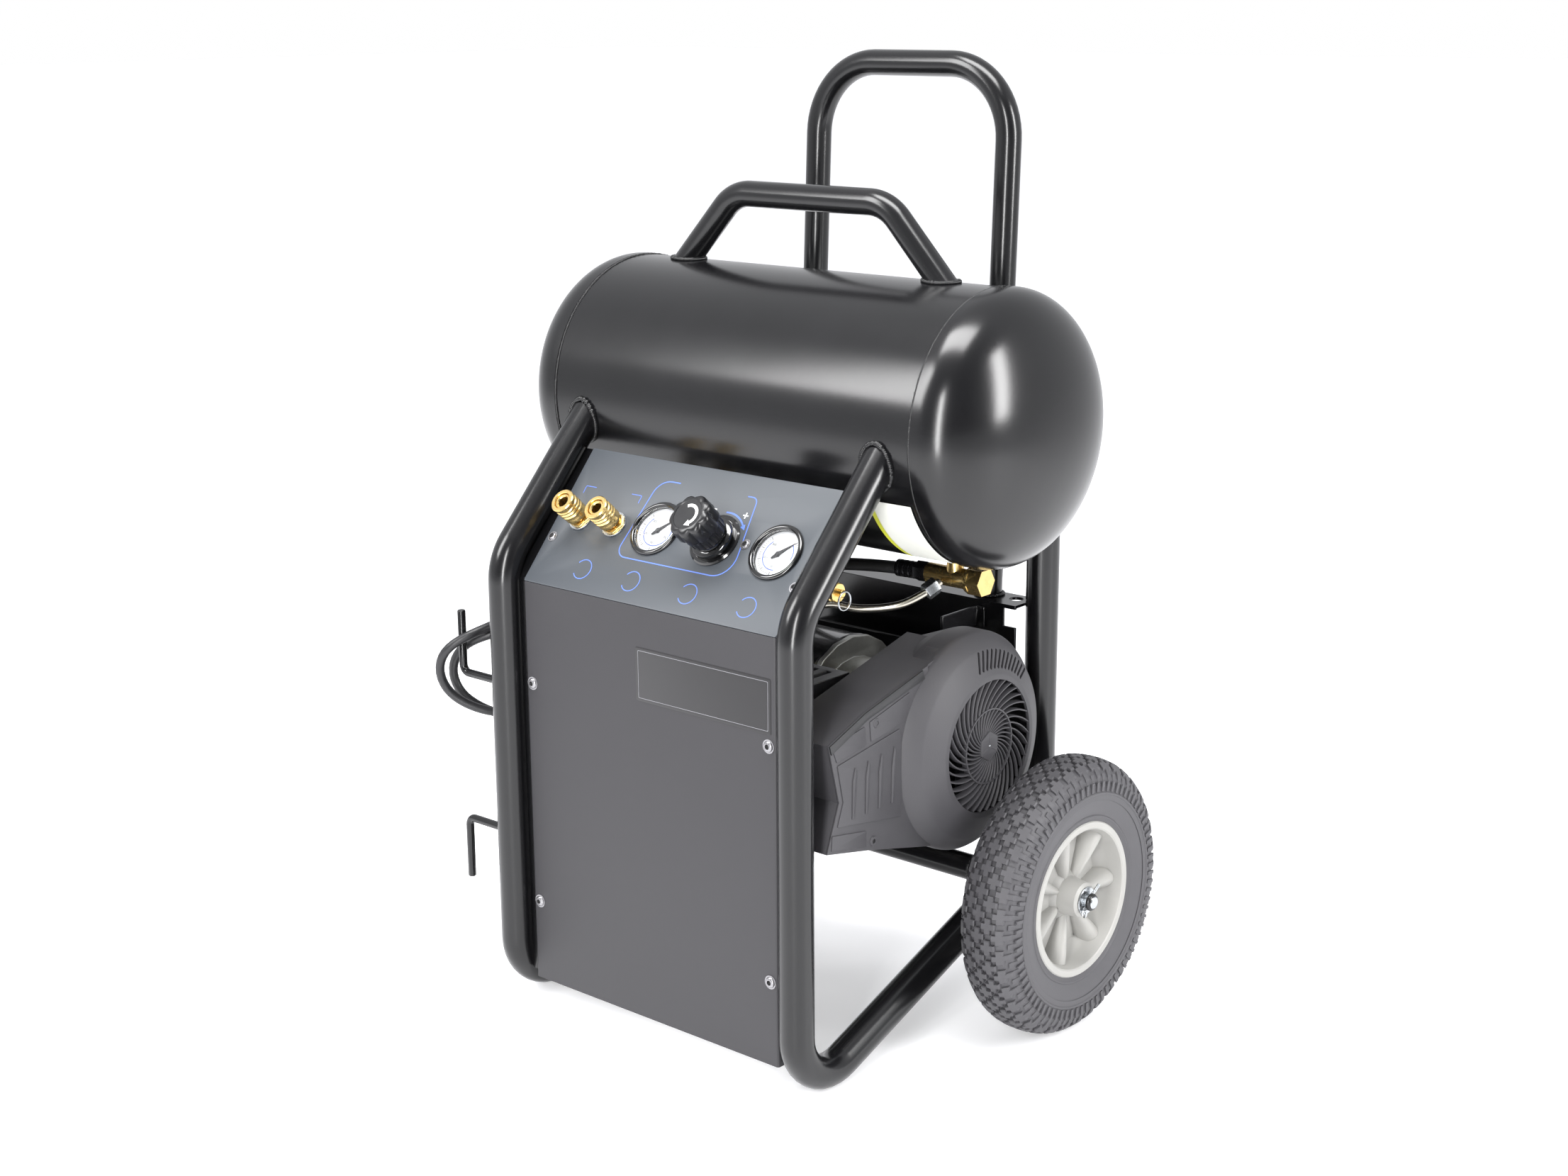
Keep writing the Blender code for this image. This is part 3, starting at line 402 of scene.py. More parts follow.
def facing(point, direction, across=None):
    """A placement whose Z runs along the direction and whose X stays near across."""
    z = Vector(direction).normalized()
    across = Vector(across or ((1, 0, 0) if abs(z.x) < 0.9 else (0, 0, 1)))
    y = z.cross(across).normalized()
    turn = Matrix((y.cross(z), y, z)).transposed().to_4x4()
    return Matrix.Translation(Vector(point)) @ turn


def sweep(name, path, radius, material, sides=24, closed=False, radii=None, angle=60):
    """A round bar or tube along a path, whose radius may change on the way."""
    path = [Vector(p) for p in path]
    count = len(path)
    rings, side = [], None
    for i, point in enumerate(path):
        before = path[i - 1] if i or closed else point
        after = path[(i + 1) % count] if i + 1 < count or closed else point
        along = (after - before).normalized()
        if side is None:
            side = along.orthogonal().normalized()
        side = (side - along * side.dot(along)).normalized()
        other = along.cross(side)
        size = radii[i] if radii else radius
        turns = (2 * math.pi * k / sides for k in range(sides))
        rings.append([point + (side * math.cos(a) + other * math.sin(a)) * size for a in turns])
    return new_piece(name, lofted(name, rings, closed), material, angle)


# the tapered relief moulded on the cord where it leaves the switch box, ribbed so that it flexes
RELIEF_X, RELIEF_END = -0.1503, -0.1803
ribs = [(0.0, RELIEF_X - 0.0002), (0.0085, RELIEF_X - 0.0002)]
for i in range(7):
    size = 0.0085 - 0.0027 * i / 7
    near = RELIEF_X - 0.003 - 0.0038 * i
    ribs += [
        (size, near), (size - 0.0009, near - 0.0004), (size - 0.0009, near - 0.0014),
        (size - 0.0003, near - 0.0018)
    ]
ribs += [(0.0056, RELIEF_END), (0.0, RELIEF_END)]
relief_y, relief_z = at(0, 0.124, 0).y, 0.394
cord_relief = lathe("cord_relief", ribs, (0, relief_y, relief_z), (1, 0, 0), CORD_SHEATH, 32)
fit(cord_relief, "frame", "black_rubber", "strain_relief")

# the moulded plug, with two flat blades and a round earth pin, hanging down behind the hank
PLUG = at(-0.2125, 0.1135, 0)
BLADE_STEEL = surface("nickelled_brass_blade", "#b8b4a8", "#c6c2b6", 4, 0.28, 0.4, 0.00003, metallic=1.0)
PLUG_SHAPE = [
    (0.207, 0.0050), (0.200, 0.0055), (0.192, 0.0064), (0.184, 0.0078), (0.179, 0.0095), (0.176, 0.0105),
    (0.168, 0.0104), (0.160, 0.0100), (0.150, 0.0102), (0.1465, 0.0095), (0.146, 0.0085),
]
PLUG_WIDTH, PLUG_DEPTH = 1.1, 0.9
plug_path = [PLUG + Vector((0, 0, z)) for z, _ in PLUG_SHAPE]
plug_body = sweep("plug_body", plug_path, 0, CORD_SHEATH, 24, radii=[r for _, r in PLUG_SHAPE])
for corner in plug_body.data.vertices:
    corner.co.y = PLUG.y + (corner.co.y - PLUG.y) * PLUG_DEPTH
    corner.co.x = PLUG.x + (corner.co.x - PLUG.x) * PLUG_WIDTH


def box_mesh(name, size, centre, **bevel):
    """A box's mesh, with rounded edges where a bevel is given."""
    shape = bmesh.new()
    bmesh.ops.create_cube(shape, size=1)
    bmesh.ops.scale(shape, vec=size, verts=shape.verts)
    bmesh.ops.translate(shape, vec=centre, verts=shape.verts)
    if bevel:
        bmesh.ops.bevel(shape, geom=shape.edges[:], affect="EDGES", **bevel)
    return mesh_of(name, shape)


def block(name, low, high, material, bevel=0.001, segments=2):
    """A box with rounded edges."""
    low, high = Vector(low), Vector(high)
    rounding = {"offset": bevel, "segments": segments, "profile": 0.5, "clamp_overlap": True}
    return new_piece(name, box_mesh(name, high - low, (low + high) / 2, **rounding), material)


fit(plug_body, "frame", "black_rubber", "plug")
for word, across in (("left", -0.0063), ("right", 0.0063)):
    low = PLUG + Vector((across - 0.0008, -0.0032, 0.1295))
    blade = block(f"plug_blade_{word}", low, low + Vector((0.0016, 0.0064, 0.018)), BLADE_STEEL, 0.0004)
    fit(blade, "frame", "bright_steel")
pin = [(0, 0.1300), (0.0012, 0.1302), (0.0023, 0.1320), (0.0023, 0.148), (0, 0.148)]
earth_pin = lathe("plug_earth_pin", pin, PLUG + Vector((0, 0.0062, 0)), (0, 0, 1), BLADE_STEEL, 16)
fit(earth_pin, "frame", "bright_steel")



def eased(corners, radius, steps=6):
    """A closed flat outline with each of its corners rounded."""
    corners = [Vector(c) for c in corners]
    radii = radius if isinstance(radius, (list, tuple)) else [radius] * len(corners)
    outline = []
    for i, corner in enumerate(corners):
        a = (corners[i - 1] - corner).normalized()
        b = (corners[(i + 1) % len(corners)] - corner).normalized()
        half = a.angle(b) / 2
        if radii[i] == 0:
            outline.append(tuple(corner))
            continue
        centre = corner + (a + b).normalized() * radii[i] / math.sin(half)
        first = corner + a * radii[i] / math.tan(half) - centre
        last = corner + b * radii[i] / math.tan(half) - centre
        sweep_angle = first.angle(last)
        for k in range(steps + 1):
            t = k / steps
            near = first * math.sin((1 - t) * sweep_angle) + last * math.sin(t * sweep_angle)
            outline.append(tuple(centre + near / math.sin(sweep_angle)))
    return outline


def rectangle(low_x, high_x, low_y, high_y, inset=0.0):
    """The corners of a flat rectangle, moved inwards by the inset."""
    low_x, high_x, low_y, high_y = low_x + inset, high_x - inset, low_y + inset, high_y - inset
    return [(low_x, low_y), (high_x, low_y), (high_x, high_y), (low_x, high_y)]


def ring_of(radius, centre=(0, 0), sides=48):
    """Points round a flat circle."""
    turns = (2 * math.pi * i / sides for i in range(sides))
    return [(centre[0] + radius * math.cos(a), centre[1] + radius * math.sin(a)) for a in turns]


def arc_of(radius, centre, degrees):
    """Points of a flat arc at these angles."""
    turns = [math.radians(d) for d in degrees]
    return [(centre[0] + radius * math.cos(a), centre[1] + radius * math.sin(a)) for a in turns]


def plate(name, outlines, thickness, place, material, edge=0.0003, angle=40):
    """A flat piece with softened edges: the first outline is its edge and the others are its holes."""
    data = bpy.data.curves.new(name, "CURVE")
    data.dimensions = "2D"
    data.fill_mode = "BOTH"
    data.extrude = thickness / 2 - edge
    data.bevel_depth = edge
    data.bevel_resolution = 1
    data.offset = -edge
    for outline in outlines:
        add_line(data, [(x, y, 0) for x, y in outline], True)
    flat = placed(name, data)
    mesh = worked_out(flat)
    bpy.data.objects.remove(flat, do_unlink=True)
    shape = bmesh.new()
    shape.from_mesh(mesh)
    bmesh.ops.remove_doubles(shape, verts=shape.verts, dist=0.000005)
    mesh = mesh_of(name, shape)
    mesh.transform(place)
    return new_piece(name, mesh, material, angle)


def around(outline, gap):
    """The same outline moved outwards, for one whose points run round its middle."""
    middle = sum((Vector(p) for p in outline), Vector((0, 0))) / len(outline)
    return [tuple(Vector(p) + (Vector(p) - middle).normalized() * gap) for p in outline]


# the strap that binds the hank, closed on itself over the lead to the plug
strap_near, strap_far = at(0, 0.0397, 0).y, at(0, 0.1034, 0).y
left, right = HANK_LAYERS[0] - CORD_R - 0.0005, HANK_LAYERS[-1] + CORD_R + 0.0005
inside = eased(rectangle(left, right, strap_near, strap_far), 0.004)
STRAP = surface("woven_polyester_strap", "#18181a", "#222225", 2, 0.7, 0.8, 0.0002)
strap = plate(
    "hank_strap", [around(inside, 0.0016), inside], 0.014, Matrix.Translation((0, 0, 0.152)), STRAP, 0.0003
)
fit(strap, "frame", "black_rubber")


# ---------------------------------------------------------------- air tank
# A rolled steel shell with a pressed dished head lapped into each end and welded all round, then
# powder coated. The coat is a smooth satin black that shows a faint orange peel close to.
POWDER_COAT = surface(
    "satin_powder_coat", "#0a0a0b", "#0f0f11", 60, 0.21, 3.0, 0.00003, 0.02, Specular_IOR_Level=0.45
)
TANK_R, TANK_HALF, HEAD_DEPTH = 0.127, 0.2248, 0.0656
TANK = at(0, 0.2338, 0.5815)
LAP = 0.0012
skin = [(0.0, TANK_HALF + HEAD_DEPTH)]
for i in range(1, 24):
    turn = math.radians(90 * i / 24)
    skin.append((TANK_R * math.sin(turn) ** 0.92, TANK_HALF + HEAD_DEPTH * math.cos(turn)))
skin += [(TANK_R, TANK_HALF), (TANK_R, TANK_HALF - 0.006), (TANK_R - LAP, TANK_HALF - 0.0068)]
skin += [(TANK_R - LAP, -TANK_HALF + 0.0068), (TANK_R, -TANK_HALF + 0.006), (TANK_R, -TANK_HALF)]
skin += [(r, -h) for r, h in reversed(skin[:24])]
tank = lathe("air_tank", skin, TANK, (1, 0, 0), POWDER_COAT, 160, angle=50)
fit(tank, "frame", "black_powder_coat", "tank_shell", "tank_head_left", "tank_head_right")


def tree_of(name, sockets):
    """A Geometry Nodes tree with its named inputs, whose one output is the finished mesh."""
    tree = bpy.data.node_groups.new(name, "GeometryNodeTree")
    for label, kind, value in sockets:
        made = tree.interface.new_socket(name=label, in_out="INPUT", socket_type=kind)
        if value is not None:
            made.default_value = value
    tree.interface.new_socket(name="Mesh", in_out="OUTPUT", socket_type="NodeSocketGeometry")
    return tree


def baked(name, tree, values, material, place=None, angle=40):
    """Runs a tree with its inputs set, and keeps the plain mesh that it gives."""
    host = placed(name, bpy.data.meshes.new(name))
    grown = host.modifiers.new(tree.name, "NODES")
    grown.node_group = tree
    named = {s.name: s.identifier for s in tree.interface.items_tree if s.in_out == "INPUT"}
    for label, value in {**values, "Material": material}.items():
        grown[named[label]] = value
    host.update_tag()
    data = worked_out(host)
    bpy.data.objects.remove(host, do_unlink=True)
    if place is not None:
        data.transform(place)
    return new_piece(name, data, material, angle)


def put_out(tree, copies, given):
    """Ends a tree: its copies are made real, take its material and are its output."""
    solid = node(tree, "GeometryNodeRealizeInstances", {"Geometry": copies.outputs[0]})
    coat = given.outputs["Material"]
    coated = node(tree, "GeometryNodeSetMaterial", {"Geometry": solid.outputs[0], "Material": coat})
    node(tree, "NodeGroupOutput", {0: coated.outputs[0]})


# Beads of weld: overlapping ripples, one for each pause of the torch, along a line of points.
bead_tree = tree_of(
    "weld_bead",
    [
        ("Line", "NodeSocketObject", None),
        ("Spacing", "NodeSocketFloat", 0.002),
        ("Size", "NodeSocketFloat", 0.002),
        ("Seed", "NodeSocketInt", 3),
        ("Material", "NodeSocketMaterial", None),
    ],
)
given = node(bead_tree, "NodeGroupInput")
traced = node(bead_tree, "GeometryNodeObjectInfo", {"Object": given.outputs["Line"]})
steps = node(
    bead_tree,
    "GeometryNodeResampleCurve",
    {"Curve": traced.outputs["Geometry"], "Length": given.outputs["Spacing"]},
    mode="LENGTH",
)
drop = node(bead_tree, "GeometryNodeMeshIcoSphere", {"Radius": 1.0, "Subdivisions": 2})
uneven = node(
    bead_tree,
    "FunctionNodeRandomValue",
    {"Min": 0.8, "Max": 1.2, "Seed": given.outputs["Seed"]},
    data_type="FLOAT",
)
size = node(
    bead_tree, "ShaderNodeMath", {0: uneven.outputs[1], 1: given.outputs["Size"]}, operation="MULTIPLY"
)
drops = node(
    bead_tree,
    "GeometryNodeInstanceOnPoints",
    {"Points": steps.outputs[0], "Instance": drop.outputs[0], "Scale": size.outputs[0]},
)
put_out(bead_tree, drops, given)


def weld(name, points, size, spacing, seed):
    """A bead of weld along these points, under the same coat as the steel."""
    data = bpy.data.curves.new(name, "CURVE")
    data.dimensions = "3D"
    add_line(data, points, True)
    guide = placed(f"{name}_line", data)
    made = baked(
        name, bead_tree, {"Line": guide, "Spacing": spacing, "Size": size, "Seed": seed}, POWDER_COAT
    )
    bpy.data.objects.remove(guide, do_unlink=True)
    return fit(made, "frame", "black_powder_coat")


for word, side in SIDES:
    lap_x = side * (TANK_HALF - 0.0072)
    seam = [(lap_x, y, z) for y, z in ring_of(TANK_R - 0.0012, (TANK.y, TANK.z), 180)]
    weld(f"head_weld_{word}", seam, 0.0013, 0.0016, seed=5 + side)


def on_tank(origin, direction):
    """Where a line meets the tank's shell."""
    o, d = Vector(origin) - TANK, Vector(direction).normalized()
    b, c = o.y * d.y + o.z * d.z, o.y**2 + o.z**2 - TANK_R**2
    a = d.y**2 + d.z**2
    return Vector(origin) + d * (-b - math.sqrt(max(b * b - a * c, 0))) / a


def tube_weld(name, foot, direction, radius, size, seed):
    """The fillet round a tube that ends on the tank, following the saddle where they meet."""
    direction = Vector(direction).normalized()
    side = Vector((1, 0, 0))
    side = (side - direction * side.dot(direction)).normalized()
    other = direction.cross(side)
    seam = []
    for i in range(48):
        a = 2 * math.pi * i / 48
        start = Vector(foot) + (side * math.cos(a) + other * math.sin(a)) * radius - direction * 0.2
        seam.append(on_tank(start, direction))
    return weld(name, seam, size, size * 0.8, seed)


# ---------------------------------------------------------------- side frames
# One 32 mm steel tube a side, bent round from the tank's front, down under the pump and up to the
# tank's back, and welded to the tank at both ends. The same black coat as the tank.
TUBE_R, SIDE_X = 0.0159, 0.1812
SLOPE_ANGLE, LEG_ANGLE = math.radians(47.3), math.radians(20.9)
CORNER_Z, REAR_DEPTH, BEND_R, FOOT_BEND_R = 0.4416, 0.3662, 0.055, 0.046
REAR_TOP = 0.600


def bent(corners, radii, steps=12):
    """A path of straight runs with each inner corner replaced by an arc of its radius."""
    corners = [Vector(c) for c in corners]
    path = [corners[0]]
    for before, corner, after, radius in zip(corners, corners[1:], corners[2:], radii):
        a, b = (before - corner).normalized(), (after - corner).normalized()
        half = a.angle(b) / 2
        centre = corner + (a + b).normalized() * radius / math.sin(half)
        first = corner + a * radius / math.tan(half) - centre
        last = corner + b * radius / math.tan(half) - centre
        turn = first.angle(last)
        for i in range(steps + 1):
            t = i / steps
            near = first * math.sin((1 - t) * turn) + last * math.sin(t * turn)
            path.append(centre + near / math.sin(turn))
    return path + [corners[-1]]


def leg_height(depth):
    """The height of the rear leg's centreline."""
    turn = math.tan(LEG_ANGLE) + 1 / math.cos(LEG_ANGLE) - 1
    return TUBE_R - FOOT_BEND_R * turn + depth * math.tan(LEG_ANGLE)


slope = Vector((0, math.cos(SLOPE_ANGLE), math.sin(SLOPE_ANGLE)))
for word, side in SIDES:
    x = side * SIDE_X
    corner = at(x, 0, CORNER_Z)
    corners = [
        on_tank(corner, slope) + slope * 0.012,
        corner,
        at(x, 0, leg_height(0)),
        at(x, REAR_DEPTH, leg_height(REAR_DEPTH)),
        at(x, REAR_DEPTH, REAR_TOP),
    ]
    tube = sweep(f"side_tube_{word}", bent(corners, [BEND_R, FOOT_BEND_R, BEND_R]), TUBE_R, POWDER_COAT, 40)
    fit(tube, "frame", "black_powder_coat", f"side_frame_{word}")
    tube_weld(f"slope_weld_{word}", corner, slope, TUBE_R + 0.0008, 0.0026, 11 + side)

# ---------------------------------------------------------------- handles
# Two bends of 25 mm tube: a low carrying handle welded along the tank's top, and a tall pull handle
# that leans back from the plate behind the pump.
HANDLE_R = 0.0125
FOOT_X, GRIP_X, GRIP_Z = 0.1660, 0.093, 0.7744
grip = [at(x, 0.2338, z) for x, z in ((-FOOT_X, 0.697), (-GRIP_X, GRIP_Z), (GRIP_X, GRIP_Z), (FOOT_X, 0.697))]
carry = sweep("carrying_handle", bent(grip, [0.045, 0.045]), HANDLE_R, POWDER_COAT, 36)
fit(carry, "frame", "black_powder_coat", "carry_handle")
for word, side in SIDES:
    down = (grip[0] - grip[1]) if side < 0 else (grip[3] - grip[2])
    start = grip[1] if side < 0 else grip[2]
    tube_weld(f"handle_weld_{word}", start, down, HANDLE_R + 0.0006, 0.0022, 17 + side)

PULL_X, PULL_Z, PLATE_TOP, LEAN = 0.117, 0.8933, 0.385, 0.044
foot_z = PLATE_TOP + 0.0012
low_depth, high_depth = 0.382 + LEAN * (foot_z - 0.7), 0.382 + LEAN * (PULL_Z - 0.7)
loop = [
    at(-PULL_X, low_depth, foot_z),
    at(-PULL_X, high_depth, PULL_Z),
    at(PULL_X, high_depth, PULL_Z),
    at(PULL_X, low_depth, foot_z),
]
pull_line = bent(loop, [0.07, 0.07], 16)
pull = sweep("pulling_handle", pull_line, HANDLE_R, POWDER_COAT, 36)
fit(pull, "frame", "black_powder_coat", "pull_handle")
for word, side in SIDES:
    foot = at(side * PULL_X, low_depth, foot_z)
    seam = [(x, y, foot.z) for x, y in ring_of(HANDLE_R + 0.001, (foot.x, foot.y), 40)]
    weld(f"pull_weld_{word}", seam, 0.0019, 0.0016, 23 + side)


# ---------------------------------------------------------------- back plate and axle
# A folded steel plate between the rear tubes carries the pump, with a bracket to its right; under
# it a cross tube on the legs holds the bright axle. Their edges are dressed before coating.
def keep_result(made):
    """Keeps the plain mesh that a piece's modifiers give."""
    mesh = worked_out(made)
    made.modifiers.clear()
    made.data = mesh


def eased_copy(name, body, slot, material, width=0.0006, angle=30):
    """A copy of a CAD node, with its loose triangles joined up and its edges softened."""
    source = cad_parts[name]
    shape = bmesh.new()
    shape.from_mesh(source.data)
    bmesh.ops.remove_doubles(shape, verts=shape.verts, dist=0.00002)
    bmesh.ops.dissolve_limit(
        shape, angle_limit=math.radians(2), verts=shape.verts, edges=shape.edges,
        use_dissolve_boundaries=False
    )
    made = new_piece(f"{name}_dressed", mesh_of(f"{name}_dressed", shape, False), material, angle + 5)
    soften = made.modifiers.new("soften", "BEVEL")
    soften.width, soften.segments = width, 2
    soften.limit_method = "ANGLE"
    soften.angle_limit = math.radians(angle)
    keep_result(made)
    return fit(made, body, slot, name)


for name in ("back_plate", "plate_gusset", "pump_base"):
    eased_copy(name, "frame", "black_powder_coat", POWDER_COAT, 0.0008)
ZINC = surface("zinc_plated_steel", "#b9bcbd", "#a7abb0", 5, 0.27, 1.2, 0.00004, 0.06, metallic=1.0)
AXLE = at(0, AXLE_DEPTH, 0.1335)
AXLE_TUBE_R, AXLE_R, AXLE_HALF = 0.0127, 0.0063, 0.3035
tube_skin = [
    (AXLE_R + 0.0003, 0.2), (AXLE_TUBE_R - 0.0008, 0.2), (AXLE_TUBE_R, 0.1992),
    (AXLE_TUBE_R, -0.1992), (AXLE_TUBE_R - 0.0008, -0.2), (AXLE_R + 0.0003, -0.2),
]
fit(
    lathe("cross_tube", tube_skin, AXLE, (1, 0, 0), POWDER_COAT, 40, True), "frame", "black_powder_coat",
    "axle_tube"
)
bar = [(0, AXLE_HALF), (0.0052, AXLE_HALF), (AXLE_R, AXLE_HALF - 0.0011), (AXLE_R, 0.0011 - AXLE_HALF)]
bar += [(0.0052, -AXLE_HALF), (0, -AXLE_HALF)]
fit(lathe("axle_bar", bar, AXLE, (1, 0, 0), ZINC, 32), "frame", "bright_steel", "axle")
for word, side in SIDES:
    for end, face in (("in", SIDE_X - TUBE_R), ("out", SIDE_X + TUBE_R)):
        round_tube = ring_of(AXLE_TUBE_R + 0.0008, (AXLE.y, AXLE.z), 30)
        seam = [(side * face, y, z) for y, z in round_tube]
        weld(f"cross_weld_{word}_{end}", seam, 0.0016, 0.0014, 29 + side)


# ---------------------------------------------------------------- wheels
# A pneumatic tyre of hard black rubber, moulded with cross-shaped blocks over the crown and bars
# round each shoulder, on a light grey glass-filled nylon hub with seven hollow conical spokes.
TYRE_RUBBER = surface("moulded_tyre_rubber", "#3c3b3e", "#464548", 14, 0.56, 1.6, 0.00012, 0.07)
HUB_NYLON = surface("glass_filled_nylon", "#8f8e8b", "#989793", 30, 0.48, 1.4, 0.00007, 0.04)
WHEEL_X, WHEEL_R, RIM_R, TREAD = 0.2648, 0.1335, 0.0724, 0.0034
SHOULDER, CROWN_CENTRE = 0.0300, 0.0965


def crown(across):
    """The tyre's own radius, under its tread, at that distance from its middle."""
    reach = min(abs(across) / SHOULDER, 1) ** 2.7
    return CROWN_CENTRE + (WHEEL_R - TREAD - CROWN_CENTRE) * (1 - reach) ** (1 / 2.7)


half = []
for i in range(15):
    across = SHOULDER * math.sin(math.radians(90 * i / 14))
    half.append((crown(across), across))
half += [(0.1045, 0.0301), (0.1036, 0.0308), (0.1022, 0.0308), (0.1013, 0.0300)]
half += [
    (0.0955, 0.0293), (0.0880, 0.0276), (0.0815, 0.0255), (0.0806, 0.0262), (0.0794, 0.0262), (0.0785, 0.0254)
]
half += [(0.0752, 0.0246), (0.0734, 0.0238), (0.0731, 0.0200)]
tyre_skin = [(r, -a) for r, a in reversed(half[1:])] + half

# the repeat round an axle: one moulded feature, turned about Z as often as it comes
ring_tree = tree_of(
    "ring_of_features",
    [
        ("Feature", "NodeSocketObject", None),
        ("Count", "NodeSocketInt", 12),
        ("Start Angle", "NodeSocketFloat", 0.0),
        ("Step Angle", "NodeSocketFloat", 0.0),
        ("Material", "NodeSocketMaterial", None),
    ],
)
given = node(ring_tree, "NodeGroupInput")
shown = node(ring_tree, "GeometryNodeObjectInfo", {"Object": given.outputs["Feature"]})
places = node(ring_tree, "GeometryNodePoints", {"Count": given.outputs["Count"]})
order = node(ring_tree, "GeometryNodeInputIndex")
turned = node(
    ring_tree,
    "ShaderNodeMath",
    {0: order.outputs[0], 1: given.outputs["Step Angle"], 2: given.outputs["Start Angle"]},
    operation="MULTIPLY_ADD",
)
spin = node(ring_tree, "ShaderNodeCombineXYZ", {"Z": turned.outputs[0]})
copies = node(
    ring_tree,
    "GeometryNodeInstanceOnPoints",
    {"Points": places.outputs[0], "Instance": shown.outputs["Geometry"], "Rotation": spin.outputs[0]},
)
put_out(ring_tree, copies, given)


def repeated(name, feature, count, material, place, start=0.0, arc=2 * math.pi, angle=40):
    """A feature's mesh, made about Z, repeated round it and put in place."""
    guide = placed(f"{name}_one", feature)
    values = {"Feature": guide, "Count": count, "Start Angle": start, "Step Angle": arc / count}
    made = baked(name, ring_tree, values, material, place, angle)
    bpy.data.objects.remove(guide, do_unlink=True)
    return made


def tread_block(outline, height, draft=0.86):
    """A block that stands on the tyre: its flat outline (across, round) laid over the crown."""
    middle = Vector((sum(p[0] for p in outline), sum(p[1] for p in outline))) / len(outline)
    rings = []
    for scale, lift in ((1.0, -0.0012), (1.0, height * 0.75), (draft, height)):
        ring = []
        for across, round_ in outline:
            a, s = middle.x + (across - middle.x) * scale, middle.y + (round_ - middle.y) * scale
            r, turn = crown(a) + lift, s / WHEEL_R
            ring.append((r * math.cos(turn), r * math.sin(turn), a))
        rings.append(ring)
    return lofted("block", rings)


def cross(across, size, arm):
    """The plan of a cross-shaped block, a little longer round the tyre than across it."""
    s, w = size / 2, arm / 2
    plan = [
        (-w, -s), (w, -s), (w, -w), (s, -w), (s, w), (w, w), (w, s), (-w, s), (-w, w), (-s, w), (-s, -w),
        (-w, -w)
    ]
    return [(across + a, b * 1.12) for a, b in plan]


def joined(name, made):
    """Several pieces of one moulding as one."""
    shape = bmesh.new()
    for part in made:
        shape.from_mesh(part.data)
    data = mesh_of(name, shape, False)
    material = made[0].data.materials[0]
    for part in made:
        bpy.data.objects.remove(part, do_unlink=True)
    return new_piece(name, data, material, 32)


